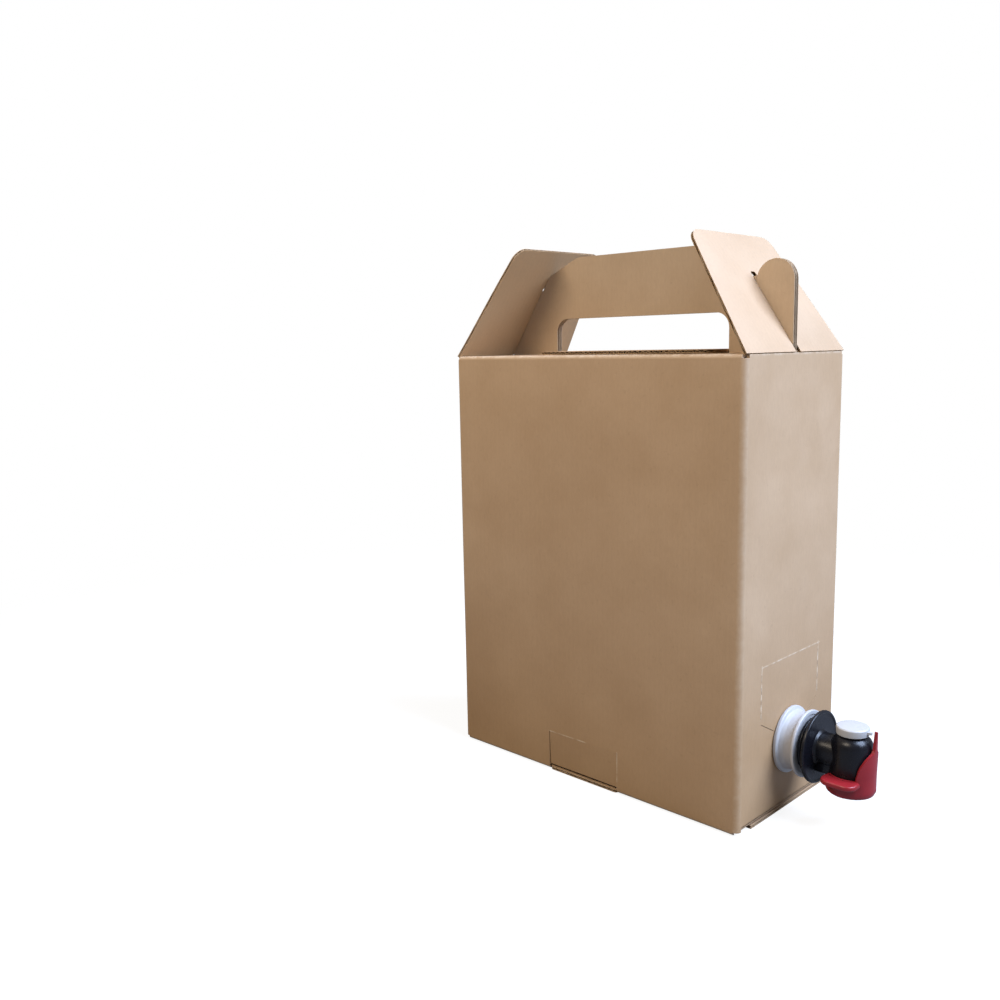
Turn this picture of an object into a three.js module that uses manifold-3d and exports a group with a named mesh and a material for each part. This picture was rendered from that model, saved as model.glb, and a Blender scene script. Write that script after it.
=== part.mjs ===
// Carry carton for a bag-in-box drink pack, with its film bag, gland and self-closing tap.
//
// The carton is one sheet of fluted board. Its top panels fold inward and stand up in the middle
// as a two-ply carrying handle. An ear at each end of the handle passes through a slit in an
// end flap. The bottom is closed by folded flaps, and a tongue that shows under a tab in the front.
// The tap hangs in a round hole of the narrow wall, below a perforated door.
//
// Millimetres, +Z up. The origin is the middle of the carton's footprint, on the floor.
// +X points out of the narrow wall that holds the tap, and -Y out of the front wall.
import * as THREE from 'three';
import { mergeVertices } from 'three/addons/utils/BufferGeometryUtils.js';
import Module from 'manifold-3d';

const wasm = await Module();
wasm.setup();

// Carton sizes
const WALL_HEIGHT = 256;
const CARTON_WIDTH = 210;
const CARTON_DEPTH = 106.5;
const BOARD = 1.8;
const CORNER_RADIUS = 3.4;
const FOLD_INSIDE_RADIUS = 0.4;
const LAYER_GAP = 0.3;

// Handle, above the top crease
const PLY_GAP = 0.6;
const HANDLE_RISE = 60.2;
const HANDLE_TOP_HALF = 46;
const HANDLE_SHOULDER_DROP = 10.5;
const HAND_HOLE_WIDTH = 127;
const HAND_HOLE_RISE = 22.5;
const HAND_HOLE_RADIUS = 8.5;
const EAR_WIDTH = 22.6;
const EAR_RISE = 49.6;
const EAR_END_INSET = 2.4;
const NOTCH_RISE = 41;
const NOTCH_RADIUS = 1;
const SHOULDER_RADIUS = 6;
const HANDLE_TOP_RADIUS = 14;

// End flaps
const FLAP_LEAN = 33.4;
const FLAP_LENGTH = 78;
const FLAP_HINGE_INSET = 0.9;
const FLAP_TOP_WIDTH = 80;
const FLAP_CORNER_RADIUS = 9;
const HINGE_GAP = 0.3;
const SLIT_CLEARANCE = 0.35;

// Bottom closure
const FOLD_RAMP = 14;
const FRONT_FLAP_REACH = 66;
const FRONT_FLAP_INSET = 17;
const DUST_FLAP_REACH = 62;
const DUST_FLAP_INSET = 5;
const FLAP_TAPER = 8;
const TONGUE_WIDTH = 52;
const TONGUE_OFFSET = -2.5;
const TAB_RISE = 25;
const TAB_LIFT = 2.6;
const KERF = 0.5;

// Tear-out door round the tap
const DOOR_WIDTH = 63;
const DOOR_TOP = 89;
const DOOR_SHOULDER = 60;
const PERFORATION = 4.2;
const PERFORATION_STEP = 7;
const DOOR_DIAGONAL_END = 3;

// Gland, along the tap's level axis
const TAP_AXIS_Z = 40.4;
const GLAND_BORE_RADIUS = 11.2;
const GLAND_NECK_RADIUS = 16;
const GLAND_FLANGE_RADIUS = 19;
const GLAND_WAIST_RADIUS = 16.4;
const GLAND_INNER_FLANGE = 1.7;
const GLAND_OUTER_FLANGE = 1.9;
const GLAND_REACH = 12.5;
const GLAND_LIP = 1.5;
const GLAND_STEP = 2.5;
const WELD_FLANGE_RADIUS = 23;
const WELD_FLANGE_THICKNESS = 1.2;
const WELD_FLANGE_DEPTH = 5;
const HOLE_CLEARANCE = 0.4;
const SEAT_GAP = 0.3;

// Tap
const TAP_REACH = 37;
const SHANK_LENGTH = 19;
const SHANK_WALL = 1.8;
const COLLAR_RADIUS = 15.4;
const COLLAR_LENGTH = 4.6;
const DISC_RADIUS = 20.2;
const DISC_THICKNESS = 1.9;
const INLET_RADIUS = 8.8;
const BODY_RADIUS = 11;
const BODY_WALL = 1.7;
const BODY_ROUNDING = 4.4;
const BODY_SHOULDER = 7.8;
const NECK_RADIUS = 7.2;
const NECK_BOTTOM = 11.4;
const NECK_TOP = 15.4;
const WEB_THICKNESS = 9;
const WEB_DROP = 12.8;
const OUTLET_RADIUS = 5.6;
const SEAT_THICKNESS = 1.6;

// Cap on top of the tap
const CAP_RADIUS = 8.6;
const CAP_RISE = 17.2;
const CAP_SKIRT = 4.6;
const CAP_WALL = 1.1;
const NIB_REACH = 2.6;
const NIB_ROOT_WIDTH = 2.8;
const NIB_TIP_WIDTH = 1.4;
const NIB_THICKNESS = 1.4;

// Lever, its wing and shield
const LEVER_CLEARANCE = 0.4;
const LEVER_WALL = 1.6;
const LEVER_BOTTOM = -19.8;
const LEVER_RING_TOP = -9.4;
const SHIELD_TOP = 16.8;
const SHIELD_HALF_ANGLE = 56;
const SHIELD_SHOULDER = -0.2;
const SHIELD_SHOULDER_RADIUS = 6;
const SHIELD_NECK = 9.4;
const SHIELD_NECK_HALF = 2.4;
const SHIELD_NECK_RADIUS = 8;
const SHIELD_TIP_HALF = 1.7;
const SHIELD_TIP_RADIUS = 1.2;
const SHIELD_FLARE = 0.8;
const WING_REACH = 20;
const WING_LENGTH = 20;
const WING_THICKNESS = 2.6;
const WING_RADIUS = 4.5;
const CROSS_BAR_WIDTH = 3.4;
const CROSS_BAR_THICKNESS = 1.2;
const LEVER_TRAVEL = 5;
const TRAVEL_CLEARANCE = 0.4;

// Valve
const STEM_RADIUS = 2.4;
const PLUG_RADIUS = 7.4;
const PLUG_RISE = 5;
const PLUG_RIM = 2;

// Bag of film, filled
const BAG_CLEARANCE = 1.6;
const BAG_HEAD_ROOM = 9;
const BAG_SQUARENESS = 0.24;

// Facets, and a length too small to show
const ROUND = 40;
const ARC = 5;
const TINY = 0.01;

// Values that follow from the sizes above
const HALF_WIDTH = CARTON_WIDTH / 2;
const HALF_DEPTH = CARTON_DEPTH / 2;
const FOLD_OUTSIDE = FOLD_INSIDE_RADIUS + BOARD;
const LAYER = BOARD + LAYER_GAP;
const PLY_INNER = PLY_GAP / 2;
const PLY_OUTER = PLY_INNER + BOARD;
const PANEL_HALF = HALF_WIDTH - EAR_END_INSET;
const LEAN = THREE.MathUtils.degToRad(FLAP_LEAN);
const WALL_X = HALF_WIDTH;
const BODY_X = HALF_WIDTH + TAP_REACH;
const BAR_TOP = LEVER_BOTTOM + CROSS_BAR_THICKNESS;
const BODY_BOTTOM = BAR_TOP + LEVER_TRAVEL + TRAVEL_CLEARANCE;

// Solids and meshes

function toSolid(geometry) {
  const bare = geometry.index ? geometry.toNonIndexed() : geometry.clone();
  bare.deleteAttribute('normal');
  bare.deleteAttribute('uv');
  const merged = mergeVertices(bare, 1e-4);
  return new wasm.Manifold(new wasm.Mesh({
    numProp: 3,
    vertProperties: new Float32Array(merged.attributes.position.array),
    triVerts: new Uint32Array(merged.index.array),
  }));
}

function union(solids) {
  return solids.reduce((whole, solid) => whole.add(solid));
}

function cut(solid, tools) {
  return tools.reduce((rest, tool) => rest.subtract(tool), solid);
}

function toMesh(name, solid, material) {
  const result = solid.getMesh();
  const geometry = new THREE.BufferGeometry();
  geometry.setAttribute('position', new THREE.BufferAttribute(result.vertProperties, 3));
  geometry.setIndex(new THREE.BufferAttribute(result.triVerts, 1));
  geometry.computeVertexNormals();
  const mesh = new THREE.Mesh(geometry, material);
  mesh.name = name;
  return mesh;
}

// Outlines. A corner is [u, v, radius].

function roundedOutline(corners) {
  const shape = new THREE.Shape();
  const count = corners.length;
  corners.forEach(([u, v, radius = 0], index) => {
    const here = new THREE.Vector2(u, v);
    const before = new THREE.Vector2(...corners[(index + count - 1) % count]);
    const after = new THREE.Vector2(...corners[(index + 1) % count]);
    const toBefore = before.sub(here).normalize();
    const toAfter = after.sub(here).normalize();
    const half = Math.acos(THREE.MathUtils.clamp(toBefore.dot(toAfter), -1, 1)) / 2;
    const move = index === 0 ? 'moveTo' : 'lineTo';
    if (radius === 0 || half > Math.PI / 2 - 1e-3) {
      shape[move](u, v);
      return;
    }
    const start = toBefore.clone().multiplyScalar(radius / Math.tan(half)).add(here);
    const end = toAfter.clone().multiplyScalar(radius / Math.tan(half)).add(here);
    const inward = toBefore.clone().add(toAfter).normalize();
    const centre = inward.multiplyScalar(radius / Math.sin(half)).add(here);
    const from = Math.atan2(start.y - centre.y, start.x - centre.x);
    const to = Math.atan2(end.y - centre.y, end.x - centre.x);
    const clockwise = toBefore.cross(toAfter) > 0;
    shape[move](start.x, start.y);
    shape.absarc(centre.x, centre.y, radius, from, to, clockwise);
  });
  shape.closePath();
  return shape;
}

function rectangle(u0, v0, u1, v1, radius = 0) {
  return roundedOutline([[u0, v0, radius], [u1, v0, radius], [u1, v1, radius], [u0, v1, radius]]);
}

// A strip of board seen edge on: it follows a centre line and has a round fold at each bend.
function foldedBoard(path, insideRadius = FOLD_INSIDE_RADIUS) {
  const points = path.map(([u, v]) => new THREE.Vector2(u, v));
  const side = (sign) => points.map((point, index) => {
    const back = index > 0 ? point.clone().sub(points[index - 1]).normalize() : null;
    const ahead = index < points.length - 1 ? points[index + 1].clone().sub(point).normalize() : null;
    const first = back ?? ahead;
    const second = ahead ?? back;
    const turn = first.cross(second);
    const left = new THREE.Vector2(-first.y - second.y, first.x + second.x).normalize();
    const reach = sign * BOARD / 2 / left.dot(new THREE.Vector2(-first.y, first.x));
    const corner = point.clone().add(left.multiplyScalar(reach));
    const radius = turn === 0 ? 0 : insideRadius + (turn * sign > 0 ? 0 : BOARD);
    return [corner.x, corner.y, radius];
  });
  return roundedOutline([...side(-1), ...side(1).reverse()]);
}

function extrude(shape, depth) {
  return new THREE.ExtrudeGeometry(shape, { depth, bevelEnabled: false, curveSegments: ARC });
}

// An outline in (y, z) swept along X, in (x, z) swept along Y, or in (x, y) swept along Z
function alongX(shape, from, to) {
  const turn = new THREE.Matrix4().set(0, 0, 1, from, 1, 0, 0, 0, 0, 1, 0, 0, 0, 0, 0, 1);
  return toSolid(extrude(shape, to - from).applyMatrix4(turn));
}

function alongY(shape, from, to) {
  const turn = new THREE.Matrix4().set(1, 0, 0, 0, 0, 0, -1, to, 0, 1, 0, 0, 0, 0, 0, 1);
  return toSolid(extrude(shape, to - from).applyMatrix4(turn));
}

function alongZ(shape, from, to) {
  return toSolid(extrude(shape, to - from).translate(0, 0, from));
}

function block(x0, x1, y0, y1, z0, z1) {
  const box = new THREE.BoxGeometry(x1 - x0, y1 - y0, z1 - z0);
  return toSolid(box.translate((x0 + x1) / 2, (y0 + y1) / 2, (z0 + z1) / 2));
}

// A turned piece about the tap's level axis, from [x, radius] points
function turnedX(profile, segments = ROUND) {
  const points = profile.map(([x, radius]) => new THREE.Vector2(radius, x));
  points.push(points[0].clone());
  const geometry = new THREE.LatheGeometry(points, segments);
  return toSolid(geometry.rotateZ(-Math.PI / 2).translate(0, 0, TAP_AXIS_Z));
}

// A turned piece about the tap body's upright axis, from [radius, height above the level axis]
function turnedZ(profile, segments = ROUND) {
  const points = profile.map(([radius, z]) => new THREE.Vector2(radius, z));
  points.push(points[0].clone());
  const geometry = new THREE.LatheGeometry(points, segments);
  return toSolid(geometry.rotateX(Math.PI / 2).translate(BODY_X, 0, TAP_AXIS_Z));
}

function mirrored(corners) {
  return corners.map(([u, v, radius = 0]) => [-u, v, radius]).reverse();
}

// Carton walls: a ring with round upright folds, and the side walls' tops
function cartonWalls() {
  const ring = rectangle(-HALF_WIDTH, -HALF_DEPTH, HALF_WIDTH, HALF_DEPTH, CORNER_RADIUS);
  const room = [HALF_WIDTH - BOARD, HALF_DEPTH - BOARD];
  ring.holes.push(rectangle(-room[0], -room[1], room[0], room[1], CORNER_RADIUS - BOARD));
  const bottom = FOLD_OUTSIDE;
  const top = WALL_HEIGHT - FOLD_OUTSIDE;
  const flatHalf = HALF_DEPTH - CORNER_RADIUS;
  const sideTops = [-1, 1].map((side) => {
    const inner = side * room[0];
    const outer = side * HALF_WIDTH;
    const x = [Math.min(inner, outer), Math.max(inner, outer)];
    return block(...x, -flatHalf, flatHalf, top - BOARD, WALL_HEIGHT - HINGE_GAP);
  });
  const walls = union([alongZ(ring, bottom, top), ...sideTops]);
  const underSides = [-1, 1].map((side) => {
    const middle = side * HALF_WIDTH;
    return block(middle - FOLD_RAMP, middle + FOLD_RAMP, -flatHalf, flatHalf, 0, LAYER + FOLD_OUTSIDE);
  });
  return cut(walls, underSides);
}

// Handle outline in (x, z): shoulders, notches and ears, cut down to the wall's top fold
function handleOutline() {
  const crease = WALL_HEIGHT;
  const earInside = PANEL_HALF - EAR_WIDTH;
  const earRadius = EAR_WIDTH / 2 - TINY;
  const flapInside = (rise) => HALF_WIDTH - BOARD / Math.cos(LEAN) - rise * Math.tan(LEAN);
  const shoulderRise = HANDLE_RISE - HANDLE_SHOULDER_DROP;
  const right = [
    [PANEL_HALF, crease - 2 * FOLD_OUTSIDE],
    [PANEL_HALF, crease + EAR_RISE, earRadius],
    [earInside, crease + EAR_RISE, earRadius],
    [earInside, crease + NOTCH_RISE, NOTCH_RADIUS],
    [flapInside(NOTCH_RISE) - SLIT_CLEARANCE, crease + NOTCH_RISE, NOTCH_RADIUS],
    [flapInside(shoulderRise) - SLIT_CLEARANCE, crease + shoulderRise, SHOULDER_RADIUS],
    [HANDLE_TOP_HALF, crease + HANDLE_RISE, HANDLE_TOP_RADIUS],
  ];
  return roundedOutline([...right, ...mirrored(right)]);
}

// One top panel with its handle ply. The front one is made, and the back one is its mirror image.
function topPanel() {
  const wallMiddle = -HALF_DEPTH + BOARD / 2;
  const panelMiddle = WALL_HEIGHT - BOARD / 2;
  const plyMiddle = -PLY_INNER - BOARD / 2;
  const strip = foldedBoard([
    [wallMiddle, WALL_HEIGHT - 1.5 * FOLD_OUTSIDE],
    [wallMiddle, panelMiddle],
    [plyMiddle, panelMiddle],
    [plyMiddle, WALL_HEIGHT + HANDLE_RISE + BOARD],
  ]);
  const outline = handleOutline();
  const half = HAND_HOLE_WIDTH / 2;
  const foot = WALL_HEIGHT - FOLD_OUTSIDE;
  const top = WALL_HEIGHT + HAND_HOLE_RISE;
  const hole = roundedOutline([
    [-half, foot], [half, foot], [half, top, HAND_HOLE_RADIUS], [-half, top, HAND_HOLE_RADIUS],
  ]);
  const sheet = alongX(strip, -PANEL_HALF, PANEL_HALF)
    .intersect(alongY(outline, -HALF_DEPTH - BOARD, BOARD))
    .subtract(alongY(hole, -PLY_OUTER - FOLD_OUTSIDE, BOARD));
  return sheet.add(handHoleTab());
}

// The piece cut out of the hand hole stays hinged at its foot and lies folded on the top panel
function handHoleTab() {
  const plyMiddle = -PLY_INNER - BOARD / 2;
  const low = WALL_HEIGHT - BOARD / 2;
  const high = low + LAYER;
  const end = -PLY_INNER - HAND_HOLE_RISE;
  const strip = foldedBoard([
    [-PLY_OUTER - 2 * FOLD_OUTSIDE, low],
    [plyMiddle, low],
    [plyMiddle, high],
    [end, high],
  ], LAYER_GAP / 2);
  const half = HAND_HOLE_WIDTH / 2 - LAYER_GAP;
  const plan = roundedOutline([
    [-half, end, HAND_HOLE_RADIUS], [half, end, HAND_HOLE_RADIUS], [half, BOARD], [-half, BOARD],
  ]);
  return alongX(strip, -half, half).intersect(alongZ(plan, low - BOARD, high + BOARD));
}

// Front bottom flap: it leaves the wall at the floor and climbs over the outer bottom panel
function frontFlap() {
  const wallMiddle = -HALF_DEPTH + BOARD / 2;
  const reach = -HALF_DEPTH + FRONT_FLAP_REACH;
  const strip = foldedBoard([
    [wallMiddle, 2 * FOLD_OUTSIDE],
    [wallMiddle, BOARD / 2],
    [-HALF_DEPTH + FOLD_RAMP, LAYER + BOARD / 2],
    [reach, LAYER + BOARD / 2],
  ]);
  const wallHalf = HALF_WIDTH - CORNER_RADIUS;
  const flapHalf = HALF_WIDTH - FRONT_FLAP_INSET;
  const plan = roundedOutline([
    [-wallHalf, -HALF_DEPTH - 1], [wallHalf, -HALF_DEPTH - 1],
    [wallHalf, -HALF_DEPTH + BOARD + LAYER_GAP], [flapHalf, -HALF_DEPTH + CORNER_RADIUS],
    [flapHalf - FLAP_TAPER, reach, FLAP_TAPER], [-flapHalf + FLAP_TAPER, reach, FLAP_TAPER],
    [-flapHalf, -HALF_DEPTH + CORNER_RADIUS], [-wallHalf, -HALF_DEPTH + BOARD + LAYER_GAP],
  ]);
  return alongX(strip, -wallHalf, wallHalf).intersect(alongZ(plan, -1, 3 * LAYER));
}

// Outer bottom panel, hinged at the back wall, with the tongue that reaches the front wall
function backPanel() {
  const wallMiddle = HALF_DEPTH - BOARD / 2;
  const front = -HALF_DEPTH + FOLD_RAMP + LAYER_GAP;
  const tongueEnd = -HALF_DEPTH + LAYER_GAP;
  const strip = foldedBoard([
    [tongueEnd, BOARD / 2], [wallMiddle, BOARD / 2], [wallMiddle, 2 * FOLD_OUTSIDE],
  ]);
  const wallHalf = HALF_WIDTH - CORNER_RADIUS;
  const panelHalf = HALF_WIDTH - FOLD_INSIDE_RADIUS;
  const tongue = [TONGUE_OFFSET - TONGUE_WIDTH / 2, TONGUE_OFFSET + TONGUE_WIDTH / 2];
  const plan = roundedOutline([
    [tongue[0], tongueEnd, FOLD_OUTSIDE], [tongue[1], tongueEnd, FOLD_OUTSIDE],
    [tongue[1], front], [panelHalf, front], [panelHalf, HALF_DEPTH - FOLD_OUTSIDE],
    [wallHalf, HALF_DEPTH - FOLD_OUTSIDE], [wallHalf, HALF_DEPTH + 1],
    [-wallHalf, HALF_DEPTH + 1], [-wallHalf, HALF_DEPTH - FOLD_OUTSIDE],
    [-panelHalf, HALF_DEPTH - FOLD_OUTSIDE], [-panelHalf, front], [tongue[0], front],
  ]);
  return alongX(strip, -panelHalf, panelHalf).intersect(alongZ(plan, -1, 3 * LAYER));
}

// Dust flap of the narrow wall at +X: the innermost layer of the bottom
function dustFlap() {
  const wallMiddle = HALF_WIDTH - BOARD / 2;
  const reach = HALF_WIDTH - DUST_FLAP_REACH;
  const strip = foldedBoard([
    [wallMiddle, LAYER + 2 * FOLD_OUTSIDE],
    [wallMiddle, LAYER + BOARD / 2],
    [HALF_WIDTH - FOLD_RAMP, 2 * LAYER + BOARD / 2],
    [reach, 2 * LAYER + BOARD / 2],
  ]);
  const wallHalf = HALF_DEPTH - CORNER_RADIUS;
  const flapHalf = HALF_DEPTH - DUST_FLAP_INSET;
  const plan = roundedOutline([
    [HALF_WIDTH + 1, -wallHalf], [HALF_WIDTH + 1, wallHalf],
    [HALF_WIDTH - FOLD_RAMP, flapHalf - LAYER_GAP],
    [reach, flapHalf - FLAP_TAPER, FLAP_TAPER], [reach, -flapHalf + FLAP_TAPER, FLAP_TAPER],
    [HALF_WIDTH - FOLD_RAMP, -flapHalf + LAYER_GAP],
  ]);
  return alongY(strip, -wallHalf, wallHalf).intersect(alongZ(plan, 0, 5 * LAYER));
}

// Knife cuts that free the lock tab from the front wall, and the slot for the tongue below it
function lockTabCuts() {
  const half = TONGUE_WIDTH / 2 + LAYER_GAP;
  const wallInside = -HALF_DEPTH + BOARD;
  const kerfs = [-1, 1].map((side) => {
    const x = TONGUE_OFFSET + side * half;
    return block(x - KERF / 2, x + KERF / 2, -HALF_DEPTH - 1, wallInside + 1, -1, TAB_RISE);
  });
  const slot = block(
    TONGUE_OFFSET - half, TONGUE_OFFSET + half, -HALF_DEPTH - 1, wallInside, -1, TAB_LIFT);
  const ramp = block(
    TONGUE_OFFSET - half - KERF / 2, TONGUE_OFFSET + half + KERF / 2,
    wallInside, -HALF_DEPTH + FOLD_RAMP + LAYER_GAP, -1, 2 * LAYER + LAYER_GAP);
  return [...kerfs, slot, ramp];
}

// A knife cut through the tap's wall from one (y, z) point to another
function wallCut(y0, z0, y1, z1) {
  const length = Math.hypot(y1 - y0, z1 - z0);
  const blade = new THREE.BoxGeometry(4 * BOARD, length, KERF);
  blade.rotateX(Math.atan2(z1 - z0, y1 - y0));
  return toSolid(blade.translate(WALL_X - BOARD / 2, (y0 + y1) / 2, (z0 + z1) / 2));
}

// Tear-out door: perforated sides, two slanting cuts, and the round hole that grips the gland
function doorCuts() {
  const half = DOOR_WIDTH / 2;
  const cuts = [];
  for (const side of [-1, 1]) {
    for (let z = DOOR_SHOULDER; z + PERFORATION < DOOR_TOP; z += PERFORATION_STEP) {
      cuts.push(wallCut(side * half, z, side * half, z + PERFORATION));
    }
    const holeEdge = GLAND_NECK_RADIUS + HOLE_CLEARANCE + DOOR_DIAGONAL_END;
    const start = new THREE.Vector2(side * (half - KERF), DOOR_SHOULDER - DOOR_DIAGONAL_END);
    const centre = new THREE.Vector2(0, TAP_AXIS_Z);
    const end = start.clone().sub(centre).setLength(holeEdge).add(centre);
    cuts.push(wallCut(start.x, start.y, end.x, end.y));
  }
  const hole = new THREE.CylinderGeometry(
    GLAND_NECK_RADIUS + HOLE_CLEARANCE, GLAND_NECK_RADIUS + HOLE_CLEARANCE, 6 * BOARD, ROUND);
  hole.rotateZ(Math.PI / 2);
  cuts.push(toSolid(hole.translate(WALL_X - BOARD / 2, 0, TAP_AXIS_Z)));
  return cuts;
}

function carton() {
  const top = topPanel();
  const dust = dustFlap();
  const front = cut(union([cartonWalls(), top, frontFlap()]), lockTabCuts());
  const sheet = union([front, top.mirror([0, 1, 0]), backPanel(), dust, dust.mirror([1, 0, 0])]);
  return cut(sheet, doorCuts());
}

// End flap at +X. It leans in over the handle, is mitred at its crease, and has the ear's slit.
function endFlap() {
  const hingeHalf = HALF_DEPTH - FLAP_HINGE_INSET;
  const topHalf = FLAP_TOP_WIDTH / 2;
  const outline = roundedOutline([
    [-hingeHalf, -2 * BOARD], [hingeHalf, -2 * BOARD], [hingeHalf, 0],
    [topHalf, FLAP_LENGTH, FLAP_CORNER_RADIUS], [-topHalf, FLAP_LENGTH, FLAP_CORNER_RADIUS],
    [-hingeHalf, 0],
  ]);
  const slitHalf = PLY_OUTER + SLIT_CLEARANCE;
  const slit = rectangle(-slitHalf, -4 * BOARD, slitHalf, slitLength(), slitHalf / 2);
  const upright = alongX(outline, -BOARD, 0).subtract(alongX(slit, -2 * BOARD, BOARD));
  const leaning = upright.rotate([0, -FLAP_LEAN, 0]).translate([HALF_WIDTH, 0, WALL_HEIGHT]);
  const below = block(
    HALF_WIDTH - 9 * BOARD, HALF_WIDTH + 9 * BOARD,
    -HALF_DEPTH, HALF_DEPTH, WALL_HEIGHT - 9 * BOARD, WALL_HEIGHT);
  return leaning.subtract(below);
}

// The slit reaches past the farthest point of the ear, measured from the flap's crease
function slitLength() {
  const radius = EAR_WIDTH / 2;
  const across = HALF_WIDTH - (PANEL_HALF - radius);
  const up = EAR_RISE - radius;
  return Math.hypot(across, up) + radius + SLIT_CLEARANCE;
}

// Gland: weld flange in the bag, groove that grips the board, waist and outer lip
function gland() {
  const groove = WALL_X - BOARD - SEAT_GAP;
  const face = WALL_X + SEAT_GAP;
  const lip = WALL_X + GLAND_REACH;
  const weld = groove - WELD_FLANGE_DEPTH;
  const edge = 0.4;
  return turnedX([
    [weld - WELD_FLANGE_THICKNESS, GLAND_BORE_RADIUS],
    [weld - WELD_FLANGE_THICKNESS, WELD_FLANGE_RADIUS],
    [weld, WELD_FLANGE_RADIUS],
    [weld, GLAND_NECK_RADIUS],
    [groove - GLAND_INNER_FLANGE, GLAND_NECK_RADIUS],
    [groove - GLAND_INNER_FLANGE, GLAND_FLANGE_RADIUS],
    [groove, GLAND_FLANGE_RADIUS],
    [groove, GLAND_NECK_RADIUS],
    [face, GLAND_NECK_RADIUS],
    [face, GLAND_FLANGE_RADIUS - edge],
    [face + edge, GLAND_FLANGE_RADIUS],
    [face + GLAND_OUTER_FLANGE - edge, GLAND_FLANGE_RADIUS],
    [face + GLAND_OUTER_FLANGE, GLAND_FLANGE_RADIUS - edge],
    [face + GLAND_STEP, GLAND_WAIST_RADIUS + edge],
    [face + 2 * GLAND_OUTER_FLANGE, GLAND_WAIST_RADIUS],
    [lip - GLAND_LIP - edge, GLAND_WAIST_RADIUS],
    [lip - GLAND_LIP, GLAND_FLANGE_RADIUS - edge],
    [lip - GLAND_LIP + edge, GLAND_FLANGE_RADIUS],
    [lip - edge, GLAND_FLANGE_RADIUS],
    [lip, GLAND_FLANGE_RADIUS - edge],
    [lip, GLAND_BORE_RADIUS],
  ]);
}

// Tap body: shank in the gland, collar, disc, inlet, web, and the upright valve chamber
function tapBody() {
  const lip = WALL_X + GLAND_REACH + SEAT_GAP;
  const shankRadius = GLAND_BORE_RADIUS - SEAT_GAP;
  const disc = lip + COLLAR_LENGTH;
  const edge = 0.5;
  const head = turnedX([
    [lip - SHANK_LENGTH, 0],
    [lip - SHANK_LENGTH, shankRadius - edge],
    [lip - SHANK_LENGTH + edge, shankRadius],
    [lip, shankRadius],
    [lip, COLLAR_RADIUS - edge],
    [lip + edge, COLLAR_RADIUS],
    [disc - 2 * edge, COLLAR_RADIUS],
    [disc, COLLAR_RADIUS - edge],
    [disc, DISC_RADIUS - edge],
    [disc + edge, DISC_RADIUS],
    [disc + DISC_THICKNESS - edge, DISC_RADIUS],
    [disc + DISC_THICKNESS, DISC_RADIUS - edge],
    [disc + DISC_THICKNESS, INLET_RADIUS + 2 * edge],
    [disc + DISC_THICKNESS + 2 * edge, INLET_RADIUS],
    [BODY_X, INLET_RADIUS],
    [BODY_X, 0],
  ]);
  const across = BODY_RADIUS - NECK_RADIUS - edge;
  const up = NECK_BOTTOM - BODY_ROUNDING;
  const shoulder = [0, 22.5, 45, 67.5, 90].map((degrees) => {
    const angle = THREE.MathUtils.degToRad(degrees);
    return [BODY_RADIUS - across + across * Math.cos(angle), BODY_ROUNDING + up * Math.sin(angle)];
  });
  const chamber = turnedZ([
    [0, BODY_BOTTOM],
    [BODY_RADIUS - edge, BODY_BOTTOM],
    [BODY_RADIUS, BODY_BOTTOM + edge],
    ...shoulder,
    [NECK_RADIUS, NECK_BOTTOM + edge],
    [NECK_RADIUS, NECK_TOP],
    [0, NECK_TOP],
  ]);
  const web = block(
    disc + DISC_THICKNESS / 2, BODY_X - BODY_RADIUS / 2,
    -WEB_THICKNESS / 2, WEB_THICKNESS / 2, TAP_AXIS_Z - WEB_DROP, TAP_AXIS_Z);
  const seat = BODY_BOTTOM + SEAT_THICKNESS;
  const hollow = turnedZ([
    [0, BODY_BOTTOM - 1],
    [OUTLET_RADIUS, BODY_BOTTOM - 1],
    [OUTLET_RADIUS, seat],
    [BODY_RADIUS - BODY_WALL, seat],
    [BODY_RADIUS - BODY_WALL, BODY_SHOULDER - BODY_WALL / 2],
    [NECK_RADIUS - BODY_WALL, NECK_BOTTOM - BODY_WALL / 2],
    [NECK_RADIUS - BODY_WALL, NECK_TOP + 1],
    [0, NECK_TOP + 1],
  ]);
  const bore = turnedX([
    [lip - SHANK_LENGTH - 1, 0],
    [lip - SHANK_LENGTH - 1, INLET_RADIUS - SHANK_WALL],
    [BODY_X, INLET_RADIUS - SHANK_WALL],
    [BODY_X, 0],
  ]);
  return cut(union([head, chamber, web]), [hollow, bore]);
}

// White dome cap over the neck, with a small nib at the front
function tapCap() {
  const skirt = CAP_RISE - CAP_SKIRT;
  const inside = NECK_RADIUS + SEAT_GAP;
  const edge = 0.8;
  const dome = turnedZ([
    [inside, skirt],
    [CAP_RADIUS, skirt],
    [CAP_RADIUS, CAP_RISE - 2 * edge],
    [CAP_RADIUS - edge / 3, CAP_RISE - edge],
    [CAP_RADIUS - edge, CAP_RISE - edge / 2],
    [0, CAP_RISE],
    [0, CAP_RISE - CAP_WALL],
    [inside, CAP_RISE - CAP_WALL - edge / 2],
  ]);
  const root = NIB_ROOT_WIDTH / 2;
  const tip = NIB_TIP_WIDTH / 2;
  const nib = roundedOutline([
    [CAP_RADIUS - edge, -root], [CAP_RADIUS + NIB_REACH, -tip, tip - LEVER_CLEARANCE / 4],
    [CAP_RADIUS + NIB_REACH, tip, tip - LEVER_CLEARANCE / 4], [CAP_RADIUS - edge, root],
  ]);
  const level = TAP_AXIS_Z + CAP_RISE - CAP_SKIRT / 2;
  return dome.add(alongZ(nib, level, level + NIB_THICKNESS).translate([BODY_X, 0, 0]));
}

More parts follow.
